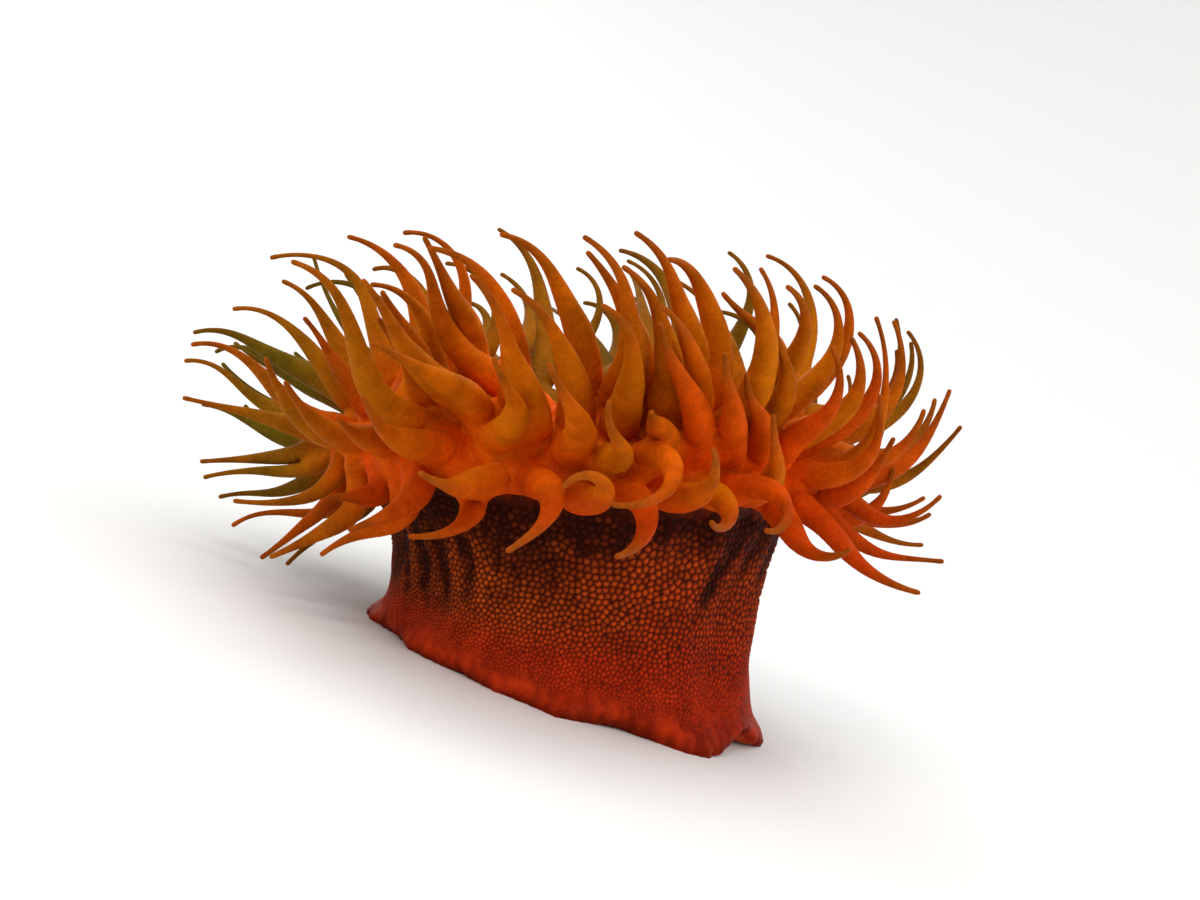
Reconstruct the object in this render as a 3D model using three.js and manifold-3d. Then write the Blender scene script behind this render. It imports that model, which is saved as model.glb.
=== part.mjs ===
// Wandering sea anemone, life size, standing on its pedal disc with the crown
// spread and every feeler bent as in life. Millimetres, +Z up.
// Origin: on the floor, in the middle of the animal's footprint box.
//
// The trunk is a loft along a leaning axis. The crown is a ring of wedges; each
// wedge carries the feelers that grow from it. A feeler is a tapered tube whose
// heading is integrated along its length from a few pose angles.

import * as THREE from 'three';
import { mergeVertices } from 'three/addons/utils/BufferGeometryUtils.js';
import Module from 'manifold-3d';

const wasm = await Module();
wasm.setup();

// ---------------------------------------------------------------- dimensions
const GAP = 0.3;                 // clearance between neighbouring pieces
const SHIFT_X = 17.22;            // pedal disc centre, from the origin
const SHIFT_Y = -6.17;

// Trunk: stations up the axis [height, sideways shift, tilt in degrees, radius]
const TRUNK = [
  [0.0, -0.3, 0.0, 40.6],
  [2.2, -0.3, 0.5, 40.2],
  [5.0, -1.4, 1.5, 38.6],
  [9.0, -2.4, 3.5, 37.4],
  [14.0, -3.6, 6.0, 36.7],
  [20.0, -4.8, 9.0, 36.7],
  [27.0, -6.6, 11.5, 37.6],
  [33.0, -9.0, 13.2, 39.8],
];
const TRUNK_SIDES = 28;
const CROWN_FLARE = [5, 32, 2.2, 22];   // azimuth, width, reach, lowest height of the flare under the crown
const FOLD_DEPTH = 0.9;          // long shallow folds of the wall
const PEDAL_TOES = [             // [azimuth, width, reach] of the corners of the foot
  [178, 9, 2.6], [312, 10, 3.6], [2, 9, 1.6], [271, 5, 2.2], [206, 7, -3.2],
  [238, 8, -2.6], [290, 9, -5.0], [338, 9, -2.0], [75, 20, 2.5], [130, 16, -1.5],
];
const NOTCH_AZIMUTH = 337;       // the foot's edge is lifted in a small arch here
const NOTCH_WIDTH = 8;
const NOTCH_LIFT = 4.3;
const NOTCH_REACH = 8;           // height at which the wall no longer feels the arch

const FOOT_TOP = 4.0;            // heights on the axis where the trunk is divided
const LOWER_TOP = 18.0;
const UPPER_TOP = 32.0;

// Crown: its own plane, tilted on the trunk
const CROWN_CENTRE = [-13.9986, 0.0041, 46.7003];
const CROWN_NORMAL = [-0.2396, 0.0064, 0.9708];
const CROWN_RIGHT = [0.9707, 0.0188, 0.2395];
const RING_FLOOR = -8.2;         // underside of the marginal ring
const RING_OUTER = [[44.2, -8.2], [47.4, -6.0], [47.0, -2.6], [44.0, 0.6], [39.4, 2.8], [34.4, 3.2]];
const RING_INNER = 31.6;
const ROW_RADIUS = [45.5, 43.0, 39.5, 35.0];   // four rows of feelers, outermost first
const ROW_HEIGHT = [-6.5, -2.8, 0.6, 2.6];
const SECTORS = 12;

const DISC_RADIUS = 30.9;
const DISC_PROFILE = [[7.6, 0.2], [14, -1.6], [24, -1.3], [30.9, 1.2]];
const MOUTH_RADIUS = 7.3;
const MOUTH_HEIGHT = 2.6;
const MOUTH_SLIT = [3.9, 0.9, 5.0];            // half length, half width, depth

const FEELER_SIDES = 4;
const FEELER_STEPS = [[50, 2], [95, 3], [170, 4], [999, 5]];   // [bend in degrees up to, lengths in the tube]
const FEELER_TIP = 0.42;         // radius of the blunt tip
const FEELER_TAIL = [0.5, 0.92, 0.4];          // from, to (along its length), share of the thickness lost: the thin end
const ROOT_SINK = 2.4;           // how deep a feeler starts inside the ring
const ROOT_NECK = 1.9;           // its radius there, so that neighbours stay apart

// Feelers: [azimuth of the root, row, length, five headings in the frontal plane,
// three leans (front -, back +), root radius, taper power]
const FEELERS = [
  [4, 0, 29.2, -28, -21, -12, 3, 36, 11, 10, 11, 3.2, 1.1],
  [16, 0, 35.1, -22, -27, -27, -17, 3, 21, 22, 22, 3.8, 1.4],
  [27, 0, 47.4, -30, -13, 12, 41, 72, 38, 38, 38, 3.3, 1.8],
  [38, 0, 55.1, -28, -11, 15, 48, 81, 43, 43, 42, 3.3, 1.9],
  [49, 0, 49.2, -64, -45, -14, 24, 62, 55, 55, 55, 3.6, 1.8],
  [71, 0, 48.1, -107, -127, -160, -201, -240, 64, 62, 59, 3.6, 1.8],
  [82, 0, 54.4, -115, -134, -163, -197, -231, 60, 59, 60, 3.4, 2],
  [93, 0, 50, -149, -166, -185, -206, -229, 55, 55, 54, 3.4, 1.5],
  [115, 0, 47.2, -144, -158, -172, -188, -203, 42, 42, 42, 3.6, 1.5],
  [126, 0, 47.6, -150, -164, -179, -195, -210, 37, 37, 36, 3.2, 1.7],
  [137, 0, 50.5, -148, -165, -184, -204, -223, 30, 30, 30, 3.1, 1.7],
  [158, 0, 34.3, -66, -93, -142, -139, -129, 28, -3, -30, 3.5, 1.4],
  [167, 0, 34.5, -132, -141, -153, -173, -161, 23, 21, 15, 3.8, 1.6],
  [175, 0, 31.7, -136, -156, -175, -170, -160, 9, 14, 13, 2.9, 1.6],
  [183, 0, 33.1, -64, -97, -173, -174, -140, -24, -18, -13, 3.2, 1.9],
  [192, 0, 27.2, -85, -105, -134, -136, -140, -20, -20, -17, 2.7, 1.1],
  [200, 0, 26.6, -109, -130, -161, -176, -184, -32, -27, -22, 2.7, 1.6],
  [208, 0, 29, -69, -97, -142, -149, -153, -29, -28, -20, 3.2, 0.9],
  [217, 0, 18, -38, -91, -171, -180, -175, -19, -43, -31, 3.7, 0.9],
  [225, 0, 27.5, -45, -88, -154, -154, -138, -26, -33, -21, 3.8, 1.1],
  [233, 0, 36.8, -65, -97, -143, -156, -161, -76, -71, -52, 3.8, 0.9],
  [242, 0, 35, -12, -48, -117, -158, -183, -50, -70, -33, 3.8, 1.1],
  [260, 0, 47.2, 30, 2, -74, -129, -151, -67, -78, -48, 3.8, 0.9],
  [269, 0, 44.2, -17, 1, 49, 137, 234, -69, -71, -46, 3.8, 0.9],
  [279, 0, 42.2, 32, 11, -63, -130, -179, -78, -61, -69, 3.8, 0.9],
  [289, 0, 43.7, 1, 18, 43, 78, 112, -58, -73, -49, 3.8, 0.9],
  [297, 0, 39.3, 29, 10, -37, -126, -249, -58, -75, -63, 3.8, 0.9],
  [305, 0, 36.5, 32, 28, -2, -85, -203, -61, -55, -50, 3.8, 0.9],
  [314, 0, 34.3, 25, 45, 82, 106, 97, -64, -58, -38, 3.8, 1.1],
  [322, 0, 30.9, -24, -42, -52, -6, 51, -59, -55, -39, 3.7, 0.9],
  [330, 0, 37.9, -12, -30, -45, -24, -5, -42, -42, -34, 3.2, 0.9],
  [339, 0, 27.2, -6, 11, 37, 63, 70, -39, -28, -18, 3.8, 1.1],
  [347, 0, 33.7, -36, -34, -27, 0, 2, -36, -30, -18, 3.5, 1.6],
  [355, 0, 26, -49, -26, 20, 59, 86, 4, 6, 6, 3.7, 1.1],
  [0, 1, 41, 2, -3, 29, 61, 74, -5, 10, 7, 4.3, 1.2],
  [9, 1, 32.3, -29, -30, -14, 10, 36, 14, 10, 11, 4.3, 1.4],
  [18, 1, 48.5, 2, -16, 0, 42, 58, 55, 8, -8, 4.3, 1.2],
  [30, 1, 56.3, 0, 18, 43, 74, 108, 28, 27, 26, 3.8, 1.5],
  [42, 1, 53.9, -13, 6, 39, 75, 108, 53, 53, 51, 3.8, 1.8],
  [54, 1, 49.9, 12, 28, 50, 75, 101, 49, 49, 48, 3.6, 2],
  [77, 1, 46.1, 117, 122, 126, 129, 131, 62, 62, 60, 4, 2.1],
  [89, 1, 54.3, -190, -197, -204, -211, -219, 68, 66, 66, 3.8, 2],
  [101, 1, 50.9, 181, 170, 158, 145, 131, 57, 56, 54, 3.8, 1.8],
  [125, 1, 54.9, -183, -189, -195, -203, -210, 39, 39, 39, 3.4, 1.6],
  [137, 1, 51.9, 175, 170, 164, 157, 150, 25, 25, 24, 4, 1.6],
  [148, 1, 50.4, -169, -180, -190, -204, -218, 30, 30, 28, 3.4, 1.8],
  [160, 1, 43.5, -171, -161, -190, -199, -180, 8, 27, 26, 4.2, 1.2],
  [169, 1, 36.1, -173, -148, -167, -171, -170, -12, 13, 18, 3.9, 1.4],
  [178, 1, 39.1, 177, 172, 157, 145, 190, 6, 10, 3, 3.9, 1.7],
  [187, 1, 34.3, -176, -187, -192, -189, -189, -15, -13, -12, 4.2, 1.7],
  [196, 1, 38.8, 174, 155, 134, 148, 195, -23, -18, -19, 3.9, 1.4],
  [205, 1, 31.4, -175, -193, -221, -241, -254, -38, -34, -33, 3.6, 1],
  [215, 1, 30.9, 168, 173, 144, 127, 117, -40, -50, -39, 3.6, 1],
  [225, 1, 32.8, 161, 164, 147, 130, 115, -48, -73, -70, 4.3, 1.2],
  [242, 1, 42.6, 149, 170, 150, 124, 106, -52, -68, -53, 4.3, 1],
  [251, 1, 43.6, 86, 56, 78, 116, 114, -49, -70, -44, 4.3, 1],
  [260, 1, 47.8, -147, -166, -190, -210, -217, -40, -79, -61, 4.3, 1],
  [268, 1, 51.2, 59, 71, 105, 120, 117, -59, -72, -48, 4.3, 1],
  [275, 1, 44.7, 55, 30, 63, 123, 85, -61, -79, -36, 4.3, 1],
  [283, 1, 46.1, 53, 40, -24, -134, -186, -61, -69, -23, 4.3, 1],
  [291, 1, 37, 66, 92, 128, 118, 101, -44, -72, -78, 4.3, 1],
  [299, 1, 46.7, 66, 87, 118, 122, 107, -53, -49, -48, 4.3, 1],
  [308, 1, 42.7, 67, 81, 97, 110, 99, -53, -59, -47, 4.3, 1],
  [316, 1, 35.8, 52, 69, 104, 126, 96, -42, -60, -37, 4.3, 1],
  [325, 1, 39.2, 65, 53, 45, 84, 125, -42, -44, -22, 4.3, 1.2],
  [334, 1, 36.6, 12, 7, 36, 85, 102, -36, -39, -23, 4.3, 1.4],
  [343, 1, 43.2, 5, 26, 76, 95, 116, -18, -8, -2, 4.3, 2],
  [352, 1, 33.3, 1, -26, -29, 21, 53, -19, -14, -7, 4.3, 1.4],
  [7, 2, 44.2, 17, 17, 41, 84, 117, -1, 12, 19, 4.3, 1.2],
  [16, 2, 44, 12, -7, 2, 46, 81, -6, 17, 26, 4.3, 1],
  [26, 2, 57.1, 14, 6, 22, 64, 134, 21, 27, 18, 4.3, 1.2],
  [35, 2, 57.8, 9, 6, 16, 51, 103, 31, 30, 18, 4.3, 1],
  [48, 2, 51.7, 0, -1, 10, 42, 110, 42, 36, 35, 4.2, 1.4],
  [74, 2, 53.9, 49, 67, 89, 116, 145, 57, 55, 54, 3.6, 1.7],
  [86, 2, 70.1, 56, 105, 141, 152, 157, 42, 68, 70, 3.7, 1.8],
  [99, 2, 60.7, 140, 143, 144, 144, 143, 63, 61, 60, 3.6, 1.5],
  [125, 2, 50.6, 151, 145, 139, 134, 131, 36, 34, 33, 4, 1.5],
  [137, 2, 56.5, 155, 149, 138, 126, 114, 31, 37, 36, 3.9, 2.1],
  [150, 2, 50.1, -186, -187, -199, -205, -149, 7, 26, 28, 4.3, 1.4],
  [165, 2, 47.4, 158, 160, 160, 159, 199, 21, 17, 15, 4.3, 1.2],
  [183, 2, 36.3, 148, 138, 133, 152, 193, -7, -3, -3, 4.3, 1.7],
  [193, 2, 33.9, 112, 123, 122, 128, 162, -17, -18, -18, 4.3, 1.4],
  [204, 2, 28, 130, 134, 130, 123, 133, -31, -29, -26, 4.3, 1.4],
  [215, 2, 45, 65, 79, 118, 114, 99, -38, -48, -77, 4.3, 1],
  [226, 2, 29.8, 94, 96, 115, 128, 126, -49, -39, -29, 4.3, 1],
  [238, 2, 55.1, 172, 153, 111, 114, 167, -43, -37, -23, 4.3, 1],
  [248, 2, 43.8, 110, 127, 150, 150, 155, -41, -60, -39, 4.3, 1],
  [258, 2, 50.4, 69, 93, 116, 110, 139, -66, -51, -22, 4.3, 1],
  [269, 2, 50, 74, 94, 111, 122, 155, -45, -56, -36, 4.3, 1],
  [281, 2, 49.4, 86, 79, 86, 106, 157, -55, -57, -43, 4.3, 1],
  [292, 2, 49.3, 80, 84, 104, 116, 152, -33, -46, -38, 4.3, 1],
  [300, 2, 46.5, 73, 82, 103, 118, 144, -38, -57, -40, 4.3, 1],
  [309, 2, 57.2, 60, 62, 91, 119, 147, -37, -45, -59, 4.3, 1],
  [319, 2, 38.1, 50, 55, 76, 110, 122, -21, -52, -26, 4.3, 1],
  [328, 2, 37.8, 33, 28, 42, 89, 128, -8, -29, -24, 4.3, 1],
  [338, 2, 38.4, 26, 27, 44, 90, 145, -18, -20, -7, 4.3, 1.2],
  [347, 2, 34.6, 27, -2, -4, 47, 79, -16, -7, -4, 4.3, 1],
  [357, 2, 48.4, 70, 79, 77, 115, 167, 26, 25, 26, 4.3, 1.4],
  [7, 3, 41.9, 49, 13, 2, 56, 103, 36, 7, 4, 4.3, 1],
  [17, 3, 38.5, 94, 101, 111, 131, 158, 31, 23, 12, 3.6, 1.4],
  [27, 3, 42.2, 45, 38, 52, 87, 137, 44, 37, 24, 4.3, 1.4],
  [38, 3, 52.3, 106, 110, 112, 132, 174, 4, 40, 34, 4.3, 1],
  [48, 3, 52.4, 44, 32, 64, 129, 181, 22, 54, 33, 4.3, 1.2],
  [58, 3, 44.4, 64, 71, 77, 97, 139, 37, 57, 55, 4.2, 1.2],
  [68, 3, 62.5, 20, 37, 58, 79, 151, 50, 38, 24, 4.3, 1],
  [79, 3, 53, 51, 72, 99, 106, 124, 25, 54, 68, 4.3, 1.2],
  [89, 3, 61.3, 61, 42, 58, 106, 162, 31, 55, 30, 4.3, 1.4],
  [99, 3, 58.6, 20, 34, 61, 101, 181, 63, 59, 31, 4.3, 1],
  [110, 3, 57.1, 64, 83, 98, 115, 156, 52, 45, 13, 4.3, 1],
  [120, 3, 60.7, 61, 39, 38, 75, 161, 79, 39, 26, 4.3, 1.2],
  [130, 3, 48.9, 52, 54, 76, 115, 158, 23, 56, 35, 3.9, 1.2],
  [140, 3, 37.7, 86, 67, 60, 102, 172, 49, 51, 43, 4.3, 1],
  [151, 3, 47.6, 119, 120, 128, 164, 210, 40, 29, 15, 4.3, 1.7],
  [161, 3, 46.3, 31, 43, 76, 129, 181, 19, 25, 23, 4.3, 1.7],
  [171, 3, 37.9, 61, 78, 103, 138, 200, 21, 16, 20, 4.2, 1.2],
  [182, 3, 45, 108, 114, 115, 165, 198, -3, 2, -1, 4.3, 2],
  [193, 3, 42.3, 66, 82, 107, 136, 172, -14, -15, -25, 4.3, 1.2],
  [204, 3, 47, 52, 68, 80, 127, 192, -14, -20, -29, 4.3, 1.7],
  [216, 3, 37.3, 75, 94, 107, 139, 184, -9, -39, -45, 4.3, 1.4],
  [228, 3, 49.2, 63, 85, 117, 114, 120, 1, -53, -45, 4.3, 1],
  [240, 3, 55.6, 119, 139, 130, 116, 128, -54, -56, -52, 4.3, 1],
  [251, 3, 56.7, 79, 91, 102, 129, 179, -59, -46, -27, 4.3, 1],
  [261, 3, 56.1, 116, 152, 120, 104, 174, 23, -42, -51, 4.3, 1.2],
  [270, 3, 51.3, 83, 88, 116, 124, 173, -31, -38, -30, 4.3, 1],
  [278, 3, 58.8, 77, 71, 96, 107, 154, -33, -61, -17, 4.3, 1],
  [287, 3, 48.5, 69, 94, 112, 123, 137, -19, -47, -40, 4.3, 1],
  [296, 3, 55.8, 63, 75, 114, 115, 154, -20, -48, -36, 4.3, 1],
  [306, 3, 50.5, 56, 81, 110, 129, 188, -12, -31, -72, 4.3, 1],
  [315, 3, 48.9, 62, 41, 64, 93, 153, -7, -47, -44, 4.3, 1],
  [326, 3, 41.7, 56, 57, 98, 146, 136, -5, -40, -21, 4.3, 1],
  [336, 3, 35.6, 86, 77, 75, 97, 128, -3, 12, 18, 4.3, 1.4],
  [346, 3, 39.3, 60, 45, 56, 97, 154, -17, -12, -10, 4.3, 1.2],
  [356, 3, 42.2, 71, 40, 55, 94, 159, -21, -9, 1, 4.3, 1.2],
];

// ---------------------------------------------------------------- small maths
const RAD = Math.PI / 180;
const V = (x, y, z) => new THREE.Vector3(x, y, z);
const centre = V(...CROWN_CENTRE);
const eN = V(...CROWN_NORMAL).normalize();
const eR = V(...CROWN_RIGHT).addScaledVector(eN, -V(...CROWN_RIGHT).dot(eN)).normalize();
const eB = new THREE.Vector3().crossVectors(eN, eR);

function crownPoint(azimuth, radius, height) {
  const a = azimuth * RAD;
  return centre.clone()
    .addScaledVector(eR, Math.cos(a) * radius)
    .addScaledVector(eB, Math.sin(a) * radius)
    .addScaledVector(eN, height);
}

// uniform Catmull-Rom through equally spaced values
function curveThrough(values, s) {
  const m = values.length - 1;
  const x = Math.min(Math.max(s * m, 0), m - 1e-9);
  const i = Math.floor(x), f = x - i;
  const b = values[i], c = values[i + 1];
  const a = i > 0 ? values[i - 1] : 2 * values[0] - values[1];
  const d = i + 2 <= m ? values[i + 2] : 2 * values[m] - values[m - 1];
  return 0.5 * (2 * b + (c - a) * f + (2 * a - 5 * b + 4 * c - d) * f * f + (3 * b - a - 3 * c + d) * f ** 3);
}

function bump(azimuth, at, width) {
  let d = ((azimuth - at + 540) % 360) - 180;
  return Math.exp(-d * d / (2 * width * width));
}

// ---------------------------------------------------------------- solids
function closedGeometry(rings, caps) {
  // rings of equal size, capped by a fan at each end
  const sides = rings[0].length;
  const pos = [];
  for (const ring of rings) for (const p of ring) pos.push(p.x, p.y, p.z);
  const first = rings.length * sides;
  for (const c of caps) pos.push(c.x, c.y, c.z);
  const idx = [];
  for (let r = 0; r + 1 < rings.length; r++) {
    for (let i = 0; i < sides; i++) {
      const j = (i + 1) % sides;
      const a = r * sides + i, b = r * sides + j, c = a + sides, d = b + sides;
      idx.push(a, b, d, a, d, c);
    }
  }
  const top = (rings.length - 1) * sides;
  for (let i = 0; i < sides; i++) {
    const j = (i + 1) % sides;
    idx.push(first, j, i);
    idx.push(first + 1, top + i, top + j);
  }
  const g = new THREE.BufferGeometry();
  g.setAttribute('position', new THREE.Float32BufferAttribute(pos, 3));
  g.setIndex(idx);
  return g;
}

function toSolid(geometry) {
  let g = geometry.clone();
  g.deleteAttribute('normal');
  g.deleteAttribute('uv');
  g = mergeVertices(g, 1e-4);
  return new wasm.Manifold(new wasm.Mesh({
    numProp: 3,
    vertProperties: Float32Array.from(g.getAttribute('position').array),
    triVerts: Uint32Array.from(g.getIndex().array),
  }));
}

function toGeometry(solid) {
  const m = solid.getMesh();
  const p = new Float32Array(m.numVert * 3);
  for (let i = 0; i < m.numVert; i++) {
    for (let k = 0; k < 3; k++) p[3 * i + k] = m.vertProperties[i * m.numProp + k];
  }
  const g = new THREE.BufferGeometry();
  g.setAttribute('position', new THREE.BufferAttribute(p, 3));
  g.setIndex(Array.from(m.triVerts));
  const flat = g.toNonIndexed();
  flat.computeVertexNormals();
  return flat;
}

function largest(solid) {
  const parts = solid.decompose();
  return parts.reduce((a, b) => (b.volume() > a.volume() ? b : a));
}

// ---------------------------------------------------------------- trunk
const crownFloor = centre.clone().addScaledVector(eN, RING_FLOOR - GAP);
const topTilt = Math.atan2(-eN.x, eN.z) / RAD;
const STATIONS = [...TRUNK, [crownFloor.z, crownFloor.x, topTilt, 41.6]];

function station(height) {
  let i = 0;
  while (i < STATIONS.length - 2 && STATIONS[i + 1][0] < height) i++;
  const a = STATIONS[i], b = STATIONS[i + 1];
  const f = (height - a[0]) / (b[0] - a[0]);
  return a.map((v, k) => v + (b[k] - v) * f);
}

function trunkRing(height) {
  const [z, x, tilt, radius] = station(height);
  const ct = Math.cos(tilt * RAD), st = Math.sin(tilt * RAD);
  const depth = (height / crownFloor.z) * crownFloor.y;
  const ring = [];
  for (let i = 0; i < TRUNK_SIDES; i++) {
    const az = 360 * i / TRUNK_SIDES, a = az * RAD;
    const low = Math.max(0, 1 - height / 7);
    let r = radius;
    for (const [at, width, reach] of PEDAL_TOES) r += reach * low * low * bump(az, at, width);
    const fold = Math.min(1, height / 10) * Math.min(1, (crownFloor.z - height) / 8);
    r += FOLD_DEPTH * fold * (0.5 * Math.cos(7 * a + 0.7 + height * 0.05) + 0.5 * Math.cos(11 * a - 1.1 - height * 0.09));
    const flare = Math.max(0, (height - CROWN_FLARE[3]) / (crownFloor.z - CROWN_FLARE[3]));
    r += CROWN_FLARE[2] * flare * flare * bump(az, CROWN_FLARE[0], CROWN_FLARE[1]);
    const lift = NOTCH_LIFT * Math.max(0, 1 - height / NOTCH_REACH) ** 1.3 * bump(az, NOTCH_AZIMUTH, NOTCH_WIDTH);
    const q = r * Math.cos(a);
    ring.push(V(x + q * ct, depth + r * Math.sin(a), z + q * st + lift));
  }
  return ring;
}

function trunkPiece(from, to) {
  const heights = [from];
  for (const [h] of STATIONS) if (h > from + 0.8 && h < to - 0.8) heights.push(h);
  heights.push(to);
  const rings = heights.map(trunkRing);
  const mid = (h) => { const [z, x] = station(h); return V(x, (h / crownFloor.z) * crownFloor.y, z); };
  return closedGeometry(rings, [mid(from), mid(to)]);
}

function foot() {
  // a sole ring inside the edge keeps the underside flat and arches only the notch
  const edge = trunkRing(0);
  const sole = edge.map((p, i) => {
    const az = 360 * i / TRUNK_SIDES;
    const inner = 30 / Math.hypot(p.x, p.y);
    return V(p.x * inner, p.y * inner, 0);
  });
  const rings = [sole, edge, trunkRing(1.3), trunkRing(2.6), trunkRing(FOOT_TOP)];
  const [z, x] = station(FOOT_TOP);
  return closedGeometry(rings, [V(0, 0, 0), V(x, 0, z)]);
}

// ---------------------------------------------------------------- crown
function ringWedge(from, to, grow) {
  const outer = RING_OUTER.map(([r, h]) => [r + (h > RING_FLOOR ? grow : 0), h + (h > RING_FLOOR ? grow : -grow)]);
  const section = [[RING_INNER, RING_FLOOR - grow], ...outer, [RING_INNER, 1.2 + grow]];
  const side = grow / 38 / RAD;
  const rings = [];
  const n = 2;
  for (let k = 0; k <= n; k++) {
    const az = from - side + (to - from + 2 * side) * k / n;
    rings.push(section.map(([r, h]) => crownPoint(az, r, h)).reverse());
  }
  const mean = (ring) => ring.reduce((s, p) => s.add(p), V(0, 0, 0)).multiplyScalar(1 / ring.length);
  return closedGeometry(rings, [mean(rings[0]), mean(rings[n])]);
}

function feeler(row, grow) {
  const [az, level, length, h0, h1, h2, h3, h4, l0, l1, l2, root, taper] = row;
  const headings = [h0, h1, h2, h3, h4], leans = [l0, l1, l2];
  const direction = (s) => {
    const h = curveThrough(headings, s) * RAD, l = curveThrough(leans, s) * RAD;
    return V(0, 0, 0)
      .addScaledVector(eR, Math.cos(l) * Math.cos(h))
      .addScaledVector(eN, Math.cos(l) * Math.sin(h))
      .addScaledVector(eB, Math.sin(l));
  };
  const FINE = 42;
  const p = crownPoint(az, ROW_RADIUS[level], ROW_HEIGHT[level]);
  const path = [p.clone()], dirs = [direction(0)];
  for (let i = 0; i < FINE; i++) {
    p.addScaledVector(direction((i + 0.5) / FINE), length / FINE);
    path.push(p.clone());
    dirs.push(direction((i + 1) / FINE));
  }
  const sink = path[0].clone().addScaledVector(crownPoint(az, ROW_RADIUS[level] - 6, ROW_HEIGHT[level] - 4).sub(path[0]).normalize(), ROOT_SINK);
  const radius = (s) => {
    const t = Math.min(Math.max((s - FEELER_TAIL[0]) / (FEELER_TAIL[1] - FEELER_TAIL[0]), 0), 1);
    const tail = 1 - FEELER_TAIL[2] * t * t * (3 - 2 * t);
    return (FEELER_TIP + (root - FEELER_TIP) * (1 - s) ** taper * tail) * 1.16 + grow;
  };
  let side = V(0, 0, 0).crossVectors(dirs[0], eN);
  if (side.length() < 0.2) side = V(0, 0, 0).crossVectors(dirs[0], eR);
  side.normalize();
  const rings = [];
  // the lengths are shorter where the feeler bends more
  const measure = [0];
  let bend = 0;
  for (let i = 0; i < FINE; i++) {
    const turn = dirs[i].angleTo(dirs[i + 1]) / RAD;
    bend += turn;
    measure.push(measure[i] + turn + 90 / FINE);
  }
  const steps = FEELER_STEPS.find(([most]) => bend <= most)[1];
  for (let k = 0; k <= steps; k++) {
    const i = k === steps ? FINE : measure.findIndex((m) => m >= measure[FINE] * k / steps);
    const d = dirs[i];
    side.addScaledVector(d, -side.dot(d)).normalize();
    const up = V(0, 0, 0).crossVectors(d, side);
    const ring = [];
    const c = k === 0 ? sink : path[i];
    const r = k === 0 ? Math.min(radius(0), ROOT_NECK + grow) : radius(i / FINE);
    for (let q = 0; q < FEELER_SIDES; q++) {
      const a = 2 * Math.PI * q / FEELER_SIDES;
      ring.push(c.clone().addScaledVector(side, r * Math.cos(a)).addScaledVector(up, r * Math.sin(a)));
    }
    rings.push(ring);
  }
  const end = path[FINE].clone().addScaledVector(dirs[FINE], 0.35 + grow);
  return closedGeometry(rings, [sink.clone(), end]);
}

function withBox(plain, grown) {
  return { plain, grown, box: grown.boundingBox() };
}

// cuts a solid back from the grown shapes of the pieces that it meets
function clearOf(solid, others) {
  const box = solid.boundingBox();
  for (const d of others) {
    if (d.box.min.some((v, i) => v > box.max[i]) || d.box.max.some((v, i) => v < box.min[i])) continue;
    if (solid.intersect(d.plain).volume() > 1e-6) solid = solid.subtract(d.grown);
  }
  return largest(solid);
}

function crownSectors() {
  const step = 360 / SECTORS;
  const margin = GAP / 38 / RAD / 2;
  const done = [];
  const solids = [];
  for (let k = 0; k < SECTORS; k++) {
    const from = k * step + margin, to = (k + 1) * step - margin;
    const own = FEELERS.filter((f) => Math.floor((((f[0] % 360) + 360) % 360) / step) === k);
    let solid = toSolid(ringWedge(from, to, 0));
    for (const f of own) solid = solid.add(toSolid(feeler(f, 0)));
    solid = clearOf(solid, done);
    done.push(withBox(toSolid(ringWedge(from, to, 0)), toSolid(ringWedge(from, to, GAP * 0.9))));
    for (const f of own) done.push(withBox(toSolid(feeler(f, 0)), toSolid(feeler(f, GAP))));
    solids.push(solid);
  }
  return { solids, done };
}

// ---------------------------------------------------------------- disc and mouth
function crownLathe(profile, segments) {
  // profile of [radius, height], from the axis round to the axis, turned about the crown's axis
  const pts = profile.map(([r, h]) => new THREE.Vector2(r, h));
  const g = new THREE.LatheGeometry(pts, segments);
  const m = new THREE.Matrix4().makeBasis(eR, eN, eB.clone().negate());
  m.setPosition(centre);
  g.applyMatrix4(m);
  return g;
}

function oralDisc(done) {
  const prof = [[0, RING_FLOOR], [DISC_RADIUS, RING_FLOOR], ...[...DISC_PROFILE].reverse(), [0, 0.2]];
  let solid = toSolid(crownLathe(prof, 24));
  const hole = toSolid(crownLathe([[0, -4.3], [MOUTH_RADIUS + GAP, -4.3], [MOUTH_RADIUS + GAP, 6], [0, 6]], 16));
  solid = solid.subtract(hole);
  return clearOf(solid, done);
}

function mouth() {
  const lip = [[0, -4.0], [MOUTH_RADIUS, -4.0], [MOUTH_RADIUS, 0.4], [5.4, MOUTH_HEIGHT], [0, MOUTH_HEIGHT * 0.7]];
  let solid = toSolid(crownLathe(lip, 16));
  const slit = new THREE.CylinderGeometry(1, 1, MOUTH_SLIT[2], 10);
  slit.scale(MOUTH_SLIT[0], 1, MOUTH_SLIT[1]);
  slit.translate(0, MOUTH_HEIGHT + 1 - MOUTH_SLIT[2] / 2, 0);
  const m = new THREE.Matrix4().makeBasis(eR, eN, eB.clone().negate());
  m.setPosition(centre);
  slit.applyMatrix4(m);
  return largest(solid.subtract(toSolid(slit)));
}

// ---------------------------------------------------------------- scene graph
const skin = (color, roughness) => new THREE.MeshStandardMaterial({ color, roughness, metalness: 0 });
const materials = {
  foot: skin(0x8c2a12, 0.45),
  column: skin(0x9a3d18, 0.5),
  collar: skin(0x4a2412, 0.5),
  disc: skin(0xa0622a, 0.4),
  lips: skin(0xb5562a, 0.4),
  feelers: skin(0xb4571c, 0.38),
};

const animal = new THREE.Group();
animal.name = 'sea_anemone';

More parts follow.
